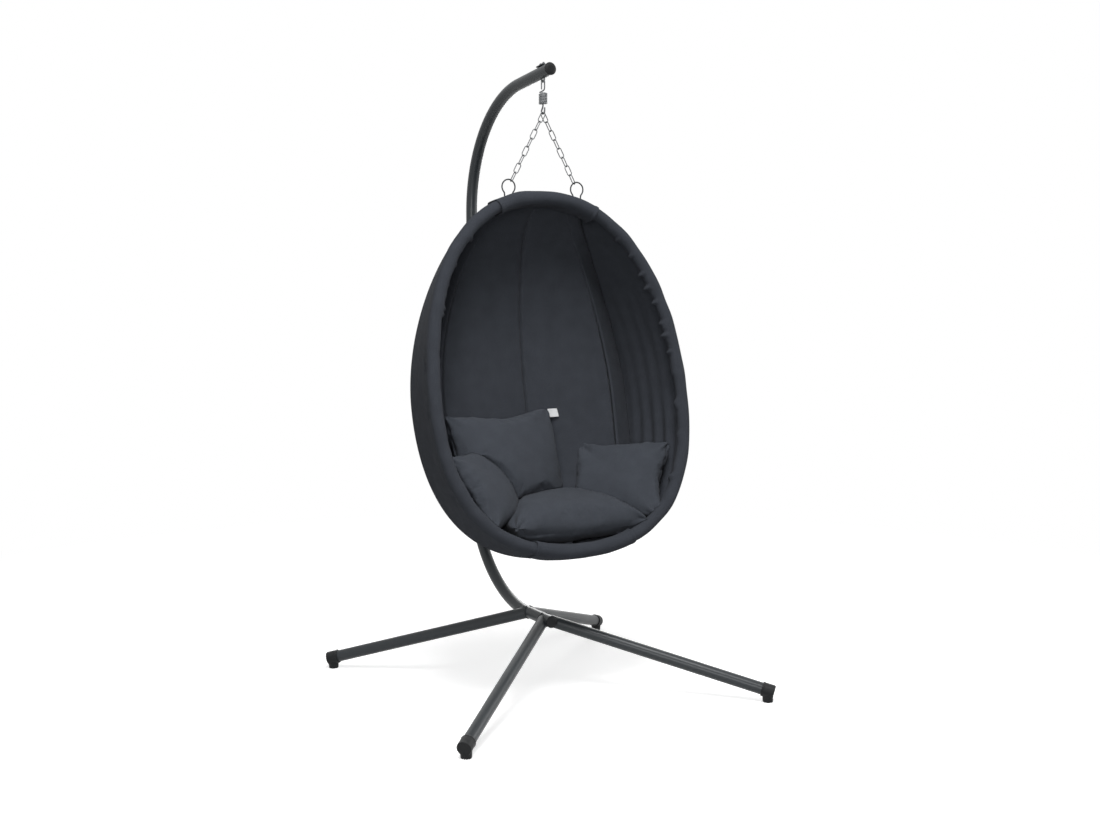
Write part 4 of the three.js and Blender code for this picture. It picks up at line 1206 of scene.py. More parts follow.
def chain_mesh(name, side):
    beside = side * (link_wire_radius + fit_gap / 2)
    bend_rise = hook_bend_radius - math.sqrt(hook_bend_radius ** 2 - beside ** 2)
    top = Vector((0, beside, chain_top + bend_rise))
    ring_x = side * (ring_half_spacing - ring_radius * math.sin(chain_lean))
    bottom = Vector((ring_x, 0, ring_radius * math.cos(chain_lean) - ring_centre_drop))
    up = (top - bottom).normalized()
    across = Vector((0, 1, 0)).cross(up).normalized()
    lean = Matrix((across, up.cross(across), up)).transposed()
    mesh = made_by(name, bpy.data.meshes.new(name), links_tree, links_called, {
        "Links": link_count, "Step": tuple(-up * link_step), "Quarter turn": right_angle,
        "Lean": lean.to_euler(), "Finish": zinc,
    })
    start = Vector(hang_point) + top + up * (first_bar - link_bar_length / 2)
    mesh.transform(Matrix.Translation(start))
    return mesh


for name, side in (("left", -1), ("right", 1)):
    nodes_for = [f"{name}_link_{i + 1}" for i in range(link_count)]
    piece(chain_mesh(f"{name}_chain", side), zinc, "chains", nodes_for, corner=None)
bpy.data.objects.remove(link_pattern)


# Pod curves, in the hoop's plane: sideways, behind it and up
def bezier(ends, share):
    share = np.asarray(share, float)[..., None]
    rest = 1 - share
    a, b, c, d = (np.asarray(end, float) for end in ends)
    return rest ** 3 * a + 3 * rest ** 2 * share * b + 3 * rest * share ** 2 * c + share ** 3 * d


def two_curves(upper, lower, share):
    share = np.asarray(share, float)
    above = bezier(upper, np.clip(2 * share, 0, 1))
    below = bezier(lower, np.clip(2 * share - 1, 0, 1))
    return np.where((share < 0.5)[..., None], above, below)


hoop_below_widest = hoop_height - hoop_widest_drop
hoop_upper = (
    (0, 0, 0), (hoop_top_handle_share * hoop_half_width, 0, 0),
    (hoop_half_width, 0, -hoop_widest_drop * (1 - hoop_upper_handle_share)),
    (hoop_half_width, 0, -hoop_widest_drop),
)
hoop_lower = (
    (hoop_half_width, 0, -hoop_widest_drop),
    (hoop_half_width, 0, -hoop_widest_drop - hoop_lower_handle_share * hoop_below_widest),
    (hoop_bottom_handle_share * hoop_half_width, 0, -hoop_height), (0, 0, -hoop_height),
)


def mirrored(points, side):
    return points * np.array([side, 1, 1])


def hoop_at(share, side):
    return mirrored(two_curves(hoop_upper, hoop_lower, share), side)


def hoop_share_at(x, lower):
    near = 1.0 if lower else 0.0
    far = 0.5
    for _ in range(40):
        middle = (near + far) / 2
        if hoop_at(middle, 1)[0] < x:
            near = middle
        else:
            far = middle
    return near


root_top_share = hoop_share_at(rib_root, False)
root_bottom_share = hoop_share_at(rib_root, True)
rib_top = hoop_at(root_top_share, 1)
rib_bottom = hoop_at(root_bottom_share, 1)
rib_widest = np.array([rib_half_width, rib_depth, -rib_widest_drop])
rib_upper = (
    rib_top, rib_top + np.array([rib_top_reach, rib_top_run, 0]),
    rib_widest + axis_z * rib_upper_handle, rib_widest,
)
rib_lower = (
    rib_widest, rib_widest - axis_z * rib_lower_handle,
    rib_bottom + np.array([rib_bottom_reach, rib_bottom_run, 0]), rib_bottom,
)
back_widest = np.array([0.0, back_depth, -rib_widest_drop])
back_upper = ((0, 0, 0), (0, back_top_run, 0), back_widest + axis_z * back_upper_handle, back_widest)
back_lower = (
    back_widest, back_widest + np.array([0, back_belly, -back_lower_handle]),
    (0, back_bottom_run, -hoop_height), (0, 0, -hoop_height),
)


def rib_at(share, side):
    return mirrored(two_curves(rib_upper, rib_lower, share), side)


ring_foot = hoop_at(hoop_share_at(ring_half_spacing, False), 1)
pod_place = (
    Matrix.Translation(Vector(hang_point) + Vector((
        0, -ring_foot[2] * math.sin(pod_tilt),
        -ring_centre_drop - ring_lift - ring_foot[2] * math.cos(pod_tilt),
    )))
    @ Matrix.Rotation(-pod_tilt, 4, "X")
)
pod_up = np.array([0.0, -math.sin(pod_tilt), math.cos(pod_tilt)])


def in_pod(points):
    """Points of the hoop's plane brought into the chair."""
    turn = np.array(pod_place.to_3x3())
    return points @ turn.T + np.array(pod_place.translation)


# Rings, bent from wire, with their two ends running down into the hoop's sleeve
for name, side in (("left", -1), ("right", 1)):
    foot = mirrored(ring_foot, side)
    centre = foot + pod_up * ring_lift
    loop = arc(centre, ring_radius, -ring_open_turn, math.pi + ring_open_turn, ring_steps, axis_x, pod_up)
    leg = ring_lift - ring_radius * math.sin(ring_open_turn)
    drop = np.linspace(leg, 0, 8)[:-1, None] * -pod_up
    ring_line = np.concatenate([loop[0] + drop, loop, (loop[-1] + drop)[::-1]])
    blended(ring_line, 1, len(ring_line) - 1, ring_blend_rounds)
    ring = rod(f"{name}_eye", in_pod(ring_line), ring_wire_radius, wire_sides, first=(0, 1, 0))
    piece(ring, dark_steel, "pod", [f"{name}_ring"])

for node in ("left_hoop_tube", "right_hoop_tube", "left_rib_tube", "right_rib_tube"):
    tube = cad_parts[node]
    tube.data.materials.clear()
    tube.data.materials.append(dark_steel)

# Hoop sleeves. Turns round the hoop start outward, then go forward, inward and back
pod_middle = np.array([0.0, 0.0, -rib_widest_drop])
pod_heart = np.array([0.0, rib_depth / 4, -rib_widest_drop])


def hoop_sides(line, side):
    ways = tangents(line)
    out = np.cross(ways, axis_y) * side
    out /= np.linalg.norm(out, axis=1)[:, None]
    facing = np.sign(((line - pod_middle) * out).sum(axis=1))
    return out * facing[:, None], np.broadcast_to(-axis_y, line.shape)


def turn_from(turn, middle):
    """How far a turn is from another, the short way round."""
    return np.abs((turn - middle + math.pi) % full_turn - math.pi)


def spikes_at(run, turn, side):
    """Small pointed puckers where the side's cloth is gathered into the sleeve's inner edge."""
    maker = np.random.default_rng(spike_seed + side)
    raised = 0
    for share in np.linspace(spike_first_share, spike_last_share, spike_count):
        place = (share + maker.uniform(-spike_shift_share, spike_shift_share)) * run[-1]
        size = maker.uniform(spike_least_share, 1.0)
        middle = gather_turn + maker.uniform(-spike_wander, spike_wander)
        width = spike_width * (1 + size) / 2
        along = np.clip(1 - np.abs(run - place) / width, 0, None)
        past = (turn - middle + math.pi) % full_turn - math.pi
        round_it = np.where(past < 0, 1 + past / spike_turn, 1 - past / spike_back_turn)
        round_it = np.clip(round_it, 0, None) ** spike_hollow
        raised = raised + size * along * round_it
    return spike_depth * raised


for name, side in (("left", -1), ("right", 1)):
    share = np.linspace(0, 1, sleeve_stations)
    line = hoop_at(share, side)
    line[0, 0] = line[-1, 0] = 0
    out, front = hoop_sides(line, side)
    run = lengths_along(line)[:, None]
    turn = whole_turn(sleeve_sides)[None, :]
    near_seam = bell(turn_from(turn, gather_turn), gather_spread)
    folds = field_over(run, turn * sleeve_radius / 3, sleeve_fold_field, side)
    sharp = np.clip(folds, 0, None) ** gather_sharpness - gather_level
    strength = gather_least_share + gather_change_share * field_over(run, run, sleeve_strength_field, side)
    slack = sleeve_sag * field_over(run, turn * sleeve_radius, sleeve_slack_field, side)
    gathers = gather_depth * sharp * near_seam * strength
    radius = sleeve_radius + slack + gathers + spikes_at(run, turn, side)
    rows = around(line, out, front, turn[0], radius)
    mesh = outward(grid_mesh(f"{name}_hoop_padding", in_pod(rows), closed=True, ends=True))
    made = piece(mesh, cover_cloth, "pod", [f"{name}_hoop_sleeve"], corner=None)


def unit(vectors):
    return vectors / np.maximum(np.linalg.norm(vectors, axis=-1)[..., None], least_length)


def square_part(vectors, ways):
    """Directions of vectors once what runs along other directions is taken out."""
    return unit(vectors - (vectors * ways).sum(axis=-1)[..., None] * ways)


def side_front(share, side):
    """Where the side's cloth starts on the hoop, for shares of the way down the rib."""
    return hoop_at(root_top_share + (root_bottom_share - root_top_share) * share, side)


def back_middle(share, side):
    centre = two_curves(back_upper, back_lower, share)
    return mirrored(centre, side)


def pocket_at(share, side):
    """The seam of the rib's pocket on the back."""
    rib = rib_at(share, side)
    pocket = rib + (back_middle(share, side) - rib) * pocket_seam_share
    pocket[..., 1] -= pocket_seam_forward * np.sin(math.pi * share)
    return pocket


def rib_frame(share, side):
    """The rib's axis, and directions square to it: to the hoop, to the pocket's seam and out of both."""
    rib = rib_at(share, side)
    after = rib_at(np.minimum(share + rib_step_share, 1), side)
    ways = unit(after - rib_at(np.maximum(share - rib_step_share, 0), side))
    to_hoop = square_part(side_front(share, side) - rib, ways)
    to_pocket = square_part(pocket_at(share, side) - rib, ways)
    side_out = side * np.cross(to_hoop, ways)
    back_out = side * np.cross(ways, to_pocket)
    return rib, to_hoop, to_pocket, side_out, back_out


# Rib sleeves: a pocket that tapers from the rib to its seam on the back
def tapered_outline(reach, sides):
    """Outlines round two circles, the rib's cover and the thin edge at its seam, for rows of reaches."""
    turn = whole_turn(4 * sides)
    tip = np.maximum(reach, 0)[:, None]
    at_tip = tip * np.cos(turn) + pocket_edge_radius > rib_cover_radius
    radius = np.where(at_tip, pocket_edge_radius, rib_cover_radius)
    x = np.where(at_tip, tip, 0) + radius * np.cos(turn)
    y = radius * np.sin(turn)
    made = []
    for row in np.stack([x, y], axis=-1):
        points, _ = evenly(row, sides, closed=True)
        made.append(points)
    return np.array(made)


for name, side in (("left", -1), ("right", 1)):
    share = np.linspace(rib_trim_share, 1 - rib_trim_share, rib_stations)
    rib, _, to_pocket, _, back_out = rib_frame(share, side)
    reach = np.linalg.norm(pocket_at(share, side) - rib, axis=1) - pocket_edge_back
    outline = tapered_outline(reach, sleeve_sides)
    run = lengths_along(rib)[:, None]
    round_it = np.linspace(0, field_round, sleeve_sides)[None, :]
    slack = 1 + rib_slack_share * field_over(run, round_it, rib_slack_field, side)
    outwards = outline[..., 1:] * back_out[:, None] * slack[..., None]
    rows = rib[:, None] + (outline[..., :1] * to_pocket[:, None] + outwards)
    mesh = outward(grid_mesh(f"{name}_rib_cover", in_pod(rows), closed=True, ends=True))
    made = piece(mesh, cover_cloth, "pod", [f"{name}_rib_sleeve"], corner=None)


# Panels, pulled over the outside of the ribs. Shares run down the pod
def wrapped(rib, out, toward, other_out):
    """Cloth round the outside of a rib, from one direction on, away from another, halfway to a third."""
    cosine = np.clip((out * other_out).sum(axis=-1), -1, 1)
    half = np.arccos(cosine) / 2 + wrap_overlap
    angle = half[:, None] * np.linspace(0, 1, wrap_columns)[None, 1:]
    sine = np.sin(angle)[..., None]
    cosine = np.cos(angle)[..., None]
    return rib[:, None] + rib_wrap_radius * (cosine * out[:, None] - sine * toward[:, None])


def side_surface(share, v, side):
    """Side of the pod between the hoop and the rib."""
    rib, _, _, side_out, _ = rib_frame(share[:, 0], side)
    front = side_front(share[:, 0], side)
    width = np.linalg.norm(rib - front, axis=1)[:, None]
    from_hoop = v * width
    stand = panel_stand_hoop + (rib_wrap_radius - panel_stand_hoop) * v
    loose_at = np.sin(math.pi * np.clip(v, 0, 1))
    low = bell(share - hang_fold_place_share, hang_fold_reach_share) * loose_at ** hang_fold_fade
    wander = hang_fold_wander_share * field_over(share, from_hoop, fold_wander_field, side)
    pleats = np.sin(full_turn * (from_hoop / hang_fold_width + wander))
    change = hang_fold_change_share * field_over(from_hoop, share, fold_depth_field, side)
    pleats = pleats * (hang_fold_least_share + change)
    hanging = hang_fold_depth * (1 if side > 0 else left_fold_share) * low * pleats
    slack = cloth_wave * loose_at * field_over(from_hoop, share, side_slack_field, side)
    gather = np.clip(field_over(from_hoop, share, side_gather_field, side), 0, None) ** side_gather_sharpness
    gathers = -gather_depth * gather * bell(from_hoop - side_gather_place, side_gather_width)
    rows = front[:, None] + (rib - front)[:, None] * v[..., None]
    return rows + (stand + hanging + slack + gathers)[..., None] * side_out[:, None]


def side_rows(side):
    share = np.linspace(panel_trim_share, 1 - panel_trim_share, panel_rows)[:, None]
    near_hoop = np.linspace(0, near_hoop_share, near_hoop_columns)[:-1]
    v = np.concatenate([near_hoop, np.linspace(near_hoop_share, 1, side_columns)])
    v = np.broadcast_to(v, (panel_rows, len(v)))
    rib, to_hoop, _, side_out, back_out = rib_frame(share[:, 0], side)
    bend = wrapped(rib, side_out, to_hoop, back_out)
    return np.concatenate([side_surface(share, v, side), bend], axis=1)


def back_surface(share, across, side):
    """Back from the middle seam, at 0, to the pocket's seam, at 1."""
    centre = back_middle(share[:, 0], side)
    pocket = pocket_at(share[:, 0], side)
    width = np.linalg.norm(pocket - centre, axis=1)[:, None]
    rows = centre[:, None] + (pocket - centre)[:, None] * across[..., None]
    from_middle = across * width
    from_pocket = (1 - across) * width
    ends = np.sin(math.pi * share) ** seam_fade
    groove = seam_groove * (bell(from_middle, seam_width) + bell(from_pocket, seam_width)) * ends
    run = share * hoop_height
    slit = slit_depth * bell(share - slit_place_share, slit_reach_share) * bell(from_middle, 2 * seam_width)
    puckers = seam_pucker * field_over(run, from_middle, seam_pucker_field)
    puckers = puckers * (bell(from_middle, middle_pucker_width) + bell(from_pocket, pocket_pucker_width))
    pull = np.sin(math.pi * across)
    slack = cloth_wave * pull * field_over(run, from_middle, back_slack_field, side)
    rows[..., 1] += groove + slit + puckers + slack
    return rows


def back_rows(side):
    fine = np.array(near_seam_shares)
    across = np.unique(np.concatenate([np.linspace(0, 1, back_columns), fine, 1 - fine]))
    share = np.linspace(back_trim_share, 1 - back_trim_share, panel_rows)[:, None]
    across = np.broadcast_to(across, (panel_rows, len(across)))
    inner = back_surface(share, across, side)
    rib, _, to_pocket, side_out, back_out = rib_frame(share[:, 0], side)
    edge = rib + rib_wrap_radius * back_out
    strip_share = np.linspace(0, 1, strip_columns)[1:, None]
    strip = inner[:, -1:] + (edge[:, None] - inner[:, -1:]) * strip_share[None]
    bend = wrapped(rib, back_out, to_pocket, side_out)
    return np.concatenate([inner, strip, bend], axis=1)


def sheet_piece(name, rows, node):
    mesh = grid_mesh(name, in_pod(rows))
    made = piece(mesh, cover_cloth, "pod", [node], corner=None)
    thickened(made, panel_thickness)


for name, side in (("left", -1), ("right", 1)):
    sheet_piece(f"{name}_side_cloth", side_rows(side), f"{name}_side_panel")
    sheet_piece(f"{name}_back_cloth", back_rows(side), f"{name}_back_panel")

# Cuffs over the hoop's top and bottom. Outlines are forward and outward of the hoop's axis
cuff_inside = sleeve_radius + cuff_loose


def cuff_outline(radius, sides):
    half = sides // 2
    front_turn = np.linspace(-right_angle, right_angle, half)
    rear_turn = front_turn + math.pi
    front = np.stack([radius * np.cos(front_turn), radius * np.sin(front_turn)], axis=1)
    rear = np.stack([radius * np.cos(rear_turn) - cuff_run, radius * np.sin(rear_turn) + cuff_rise], axis=1)
    outline, _ = evenly(np.concatenate([front, rear]), sides, closed=True)
    return outline


def cuff_mesh(name, lower, seed):
    left_share = hoop_share_at(cuff_left_end, lower)
    right_share = hoop_share_at(cuff_right_end, lower)
    end = 1.0 if lower else 0.0
    left = hoop_at(np.linspace(left_share, end, cuff_stations // 2), -1)
    right = hoop_at(np.linspace(end, right_share, cuff_stations // 2), 1)
    line, even = evenly(np.concatenate([left[:-1], right]), cuff_stations)
    ways = tangents(line)
    out = np.cross(ways, axis_y)
    out *= np.sign(((line - pod_middle) * out).sum(axis=1))[:, None]
    from_end = np.minimum(even, even[-1] - even)
    hem = cuff_hem_rise * (1 / (1 + np.exp((from_end - cuff_hem_width) / cuff_hem_soft)))
    outline = cuff_outline(cuff_inside, cuff_sides)
    centre = np.where(outline[:, :1] > 0, 0, np.clip(outline[:, :1], -cuff_run, 0))
    spread = outline - np.concatenate([centre, -centre / cuff_run * cuff_rise], axis=1)
    spread /= np.linalg.norm(spread, axis=1)[:, None]
    round_it = np.linspace(0, field_round, cuff_sides)[None, :]
    wave = cuff_wave * field_over(even[:, None], round_it, cuff_wave_field, seed)
    sides_made = []
    for offset, moving in ((cuff_thickness, 1), (cuff_lining, 0)):
        reach = offset + moving * (hem[:, None] + wave)
        flat = outline[None] + reach[..., None] * spread[None]
        rows = line[:, None] + flat[..., :1] * -axis_y + flat[..., 1:] * out[:, None]
        sides_made.append(rows)
    outer, inner = sides_made
    lip = (outer + inner) / 2
    ways = ways[:, None, :]
    edge = cuff_thickness / 2
    shell = np.concatenate([
        inner[::-1], (lip - ways * edge)[:1], outer, (lip + ways * edge)[-1:], inner[-1:],
    ])
    return outward(grid_mesh(name, in_pod(shell), closed=True))


for name, lower, seed in (("top_cuff", False, cuff_seeds[0]), ("bottom_cuff", True, cuff_seeds[1])):
    mesh = cuff_mesh(f"{name}_cloth", lower, seed)
    made = piece(mesh, cover_cloth, "pod", [name], corner=None)


# Stitches: one short thread repeated along each seam
def stitch_mesh():
    """One stitch along X, its ends dipping into the cloth below it."""
    run = np.linspace(-0.5, 0.5, stitch_steps)
    line = np.stack([run * stitch_length, 0 * run, thread_radius * (1 - stitch_dip * run ** 2)], axis=1)
    radius = np.full(stitch_steps, thread_radius)
    radius[[0, -1]] *= stitch_end_share
    return rod("stitch", line, radius, stitch_sides, first=(0, 1, 0), round_ends=False)


def stitch_tree(stitch):
    """Stitches set out evenly along lines, each lying along its line and facing out of the cloth."""
    tree, called, given = group_of("stitching", {"Seams": "Geometry", "Pitch": "Float", "Finish": "Material"})
    curves = add(tree, "GeometryNodeMeshToCurve", {"Mesh": given["Seams"]})
    spaced = add(tree, "GeometryNodeResampleCurve", {
        "Curve": curves.outputs[0], "Length": given["Pitch"],
    }, mode="LENGTH")
    way = tree.nodes.new("GeometryNodeInputTangent").outputs[0]
    facing = add(tree, "GeometryNodeInputNamedAttribute", {"Name": "facing"}, data_type="FLOAT_VECTOR")
    along = add(tree, "FunctionNodeAlignRotationToVector", {"Vector": way}, axis="X")
    upright = add(tree, "FunctionNodeAlignRotationToVector", {
        "Rotation": along.outputs[0], "Vector": facing.outputs[0],
    }, axis="Z", pivot_axis="X")
    set_out(tree, given, stitch, spaced.outputs[0], upright.outputs[0])
    return tree, called


def stitched(name, seams):
    """Stitches along seams, each a line of points and the directions that the cloth faces there."""
    stitch = loose("stitch", stitch_mesh())
    tree, called = stitch_tree(stitch)
    spots = np.concatenate([line for line, _ in seams])
    looks = np.concatenate([look for _, look in seams])
    edges = []
    first = 0
    for line, _ in seams:
        edges += [(first + i, first + i + 1) for i in range(len(line) - 1)]
        first += len(line)
    base = bpy.data.meshes.new(name)
    base.from_pydata(spots.tolist(), edges, [])
    facing = base.attributes.new("facing", "FLOAT_VECTOR", "POINT")
    facing.data.foreach_set("vector", looks.astype(np.float32).ravel())
    mesh = made_by(name, base, tree, called, {"Pitch": stitch_pitch, "Finish": thread})
    bpy.data.objects.remove(stitch)
    piece(mesh, thread, "pod", corner=None)


def seam_on(surface, share, across, side, inside):
    """A seam's points and facing directions on one face of a panel, for shares down it and across it."""
    share = share[:, None]
    across = np.broadcast_to(across, share.shape)
    spots = surface(share, across, side)[:, 0]
    down = surface(share + stitch_look_share, across, side)[:, 0] - spots
    aside = surface(share, across + stitch_look_share, side)[:, 0] - spots
    look = unit(np.cross(down, aside))
    look *= np.sign((look * (pod_heart - spots)).sum(axis=1))[:, None] * (1 if inside else -1)
    return spots + look * panel_thickness / 2, look


seams = []
for side in (-1, 1):
    share = np.linspace(stitch_trim_share, 1 - stitch_trim_share, panel_rows)
    width = np.linalg.norm(pocket_at(share, side) - back_middle(share, side), axis=1)[:, None]
    side_width = np.linalg.norm(rib_at(share, side) - side_front(share, side), axis=1)[:, None]
    for inside in (True, False):
        seams.append(seam_on(back_surface, share, stitch_inset / width, side, inside))
        seams.append(seam_on(back_surface, share, 1 - stitch_inset / width, side, inside))
        seams.append(seam_on(side_surface, share, (sleeve_radius + stitch_inset) / side_width, side, inside))
pod_turn = np.array(pod_place.to_3x3())
stitched("pod_stitches", [(in_pod(line), look @ pod_turn.T) for line, look in seams])


# Cushions
def settled(place, lean, turn):
    """Where a shape made level and upright lies in the tilted pod."""
    return (
        pod_place @ Matrix.Translation((0, 0, -hoop_height)) @ Matrix.Rotation(pod_tilt, 4, "X")
        @ Matrix.Translation(place) @ Matrix.Rotation(turn, 4, "Z") @ Matrix.Rotation(-lean, 4, "X")
    )


def coordinates(mesh):
    spots = np.empty(len(mesh.vertices) * 3, np.float32)
    mesh.vertices.foreach_get("co", spots)
    return spots.reshape(-1, 3).astype(float)


def directions(mesh):
    normals = np.empty(len(mesh.vertices) * 3, np.float32)
    mesh.vertex_normals.foreach_get("vector", normals)
    return normals.reshape(-1, 3).astype(float)


def put_at(mesh, spots):
    mesh.vertices.foreach_set("co", spots.astype(np.float32).ravel())
    mesh.update()


def pillow_mesh(name, size, crown_share, seam_drop, place):
    """Two crowned faces on one seam, with sides drawn in between the corners."""
    width, length, thickness = size
    width += 2 * cushion_spare
    length += 2 * cushion_spare
    spread = np.sin(np.linspace(-right_angle, right_angle, pillow_steps))
    a, b = spread[:, None], spread[None, :]
    crown = ((1 - a ** 2) * (1 - b ** 2)) ** crown_share
    x = width / 2 * a * (1 - cushion_draw_share * (1 - b ** 2))
    z = length / 2 * b * (1 - cushion_draw_share * (1 - a ** 2))
    drop = seam_drop * (1 - crown)
    faces = [
        np.stack(np.broadcast_arrays(x, look * thickness / 2 * crown - drop, z), axis=-1) for look in (-1, 1)
    ]
    made = joined(name, [grid_mesh("cushion_face", face) for face in faces])
    made.transform(place)
    return outward(made)


def moved_out(mesh, distance):
    put_at(mesh, coordinates(mesh) + distance * directions(mesh))
    return mesh


def start_shape(name, node, size, crown_share, seam_drop, place):
    """The part of a full pillow that lies in its node's room, a little smaller, ready to swell."""
    solid = outward(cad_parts[node].data.copy())
    room = moved_out(remeshed("room", solid, cushion_voxel, room_smooth_rounds), cushion_slack)
    room_work = loose("room", room)
    pillow = pillow_mesh(name, size, crown_share, seam_drop, place)
    full = loose(name, remeshed(name, pillow, cushion_voxel, 0))
    cut = full.modifiers.new("room", "BOOLEAN")
    cut.operation = "INTERSECT"
    cut.solver = "MANIFOLD"
    cut.object = room_work
    inside = evaluated(name, full)
    bpy.data.objects.remove(room_work)
    return moved_out(remeshed(name, inside, cushion_voxel, cut_smooth_rounds), -cushion_shrink)


def swell(works, limits):
    """Blows the cushions up with air until their cloth is tight, and caps how far each point moves."""
    starts = [coordinates(work.data) for work in works]
    for work in works:
        cloth = work.modifiers.new("air", "CLOTH")
        cloth.settings.use_pressure = True
        cloth.settings.uniform_pressure_force = cushion_pressure
        cloth.settings.effector_weights.gravity = 0
        cloth.settings.quality = cushion_quality
        cloth.settings.tension_stiffness = cushion_stiffness
        cloth.settings.compression_stiffness = cushion_stiffness
        cloth.settings.bending_stiffness = cushion_bending
    scene = bpy.context.scene
    for step in range(1, cushion_frames + 1):
        scene.frame_set(step)
    graph = bpy.context.evaluated_depsgraph_get()
    for work, start, limit in zip(works, starts, limits):
        blown = work.evaluated_get(graph).to_mesh()
        moved = coordinates(blown) - start
        work.evaluated_get(graph).to_mesh_clear()
        size = np.linalg.norm(moved, axis=1)[:, None]
        moved *= np.minimum(1, limit / np.maximum(size, least_move))
        work.modifiers.clear()
        put_at(work.data, start + moved)
    scene.frame_set(1)


def dressed(mesh, start, size, seam_drop, place, seed, fold, pucker_depth, ear_size, bend):
    """Puckers along a swollen cushion's seam, folds and ears at its corners, and a bend in its front."""
    width, length, thickness = size
    turn = np.array(place.to_3x3())
    home = np.array(place.translation)
    x, y, z = ((start - home) @ turn).T
    y = y + seam_drop
    y = y / np.where(y > 0, 1 + 2 * seam_drop / thickness, 1 - 2 * seam_drop / thickness)
    spots = (coordinates(mesh) - home) @ turn
    normals = directions(mesh) @ turn
    a = np.clip(np.abs(x) / (width / 2), 0, 1)
    b = np.clip(np.abs(z) / (length / 2), 0, 1)
    from_side = width / 2 * (1 - cushion_draw_share * (1 - b ** 2)) - np.abs(x)
    from_end = length / 2 * (1 - cushion_draw_share * (1 - a ** 2)) - np.abs(z)
    from_rim = np.maximum(np.minimum(from_side, from_end), 0)
    rim_run = np.where(from_side < from_end, z, x)
    seam = bell(y, seam_level_width) * bell(from_rim, seam_rim_width)
    inward = np.sign(y) * rim_pucker_offset + from_rim * rim_pucker_inward_share
    pucker = mottle(along_axes(rim_run, inward), rim_pucker_size, seed)
    edge = np.exp(-from_rim / rim_pucker_reach)
    corner_x = width / 2 - np.abs(x)
    corner_z = length / 2 - np.abs(z)
    reach = np.hypot(corner_x, corner_z)
    heading = np.arctan2(corner_z, np.maximum(corner_x, least_reach))
    shift_x, shift_z = corner_fold_shifts
    rays = np.sin(heading * corner_folds + seed + np.sign(x) * shift_x + np.sign(z) * shift_z + np.sign(y))
    at_corner = np.exp(-reach / corner_fold_reach)
    broad = mottle(spots * np.array(broad_wave_stretch), broad_wave_size, seed + 3)
    from_ridge = (np.hypot(x - ridge_place, ridge_round) - ridge_round) / (width / 2)
    in_front = (1 - np.tanh(y / face_reach)) / 2
    lift = -seam_dip * seam + pucker_depth * pucker * edge + fold * rays * at_corner + cushion_wave * broad
    spots += lift[:, None] * normals
    spots[:, 1] += bend * from_ridge * in_front * (1 - edge)
    ear = ear_size * np.exp(-reach / corner_ear_reach) * bell(y, face_reach)
    spots[:, 0] += ear * np.sign(x)
    spots[:, 2] += ear * np.sign(z)
    put_at(mesh, spots @ turn.T + home)


def cloth_mapped(mesh, place):
    """A cloth map in metres, seen along the axis that each face looks along most."""
    turn = np.array(place.to_3x3())
    spots = (coordinates(mesh) - np.array(place.translation)) @ turn
    looks = np.array([polygon.normal[:] for polygon in mesh.polygons]) @ turn
    counts = np.array([polygon.loop_total for polygon in mesh.polygons])
    main = np.repeat(np.abs(looks).argmax(axis=1), counts)
    corners = np.empty(len(mesh.loops), np.int32)
    mesh.loops.foreach_get("vertex_index", corners)
    at = spots[corners]
    upright = np.where((main == 1)[:, None], at[:, [0, 2]], at[:, [0, 1]])
    flat = np.where((main == 0)[:, None], at[:, [1, 2]], upright)
    cloth_map = mesh.uv_layers.new(name="cloth")
    cloth_map.data.foreach_set("uv", flat.astype(np.float32).ravel())


def faces_of(meshes):
    """A search tree over the faces of some meshes."""
    spots = []
    polygons = []
    for mesh in meshes:
        first = len(spots)
        spots += [vertex.co.copy() for vertex in mesh.vertices]
        polygons += [[first + index for index in polygon.vertices] for polygon in mesh.polygons]
    return BVHTree.FromPolygons(spots, polygons)


pod_inside = Vector(in_pod(pod_heart))


def pushed_clear(mesh, cloths, solids):
    """Moves what lies in the pod's cloth or in a neighbour out to a small gap from it."""
    moved = []
    for vertex in mesh.vertices:
        spot = vertex.co.copy()
        near, look, _, _ = cloths.find_nearest(spot, push_reach)
        if near is not None:
            inward = look if look.dot(pod_inside - near) > 0 else -look
            if (spot - near).dot(inward) < lining_gap:
                spot = near + inward * lining_gap
        near, look, _, _ = solids.find_nearest(spot, push_reach)
        if near is not None and (spot - near).dot(look) < cushion_gap:
            spot = near + look * cushion_gap
        if (spot - vertex.co).length > push_least:
            vertex.co = spot
            moved.append(vertex.index)
    return moved


def eased(mesh, indices):
    """Smooths the places that were pushed."""
    work = bmesh.new()
    work.from_mesh(mesh)
    work.verts.ensure_lookup_table()
    chosen = [work.verts[index] for index in indices]
    bmesh.ops.smooth_vert(
        work, verts=chosen, factor=smooth_share, use_axis_x=True, use_axis_y=True, use_axis_z=True,
    )
    work.to_mesh(mesh)
    work.free()


arm_places = {
    side: settled((side * arm_place[0], arm_place[1], arm_place[2]), arm_lean, -side * arm_turn)
    for side in (-1, 1)
}
rest_matrix = settled(rest_place, rest_lean, rest_turn)
seat_matrix = settled(seat_place, -right_angle, 0)
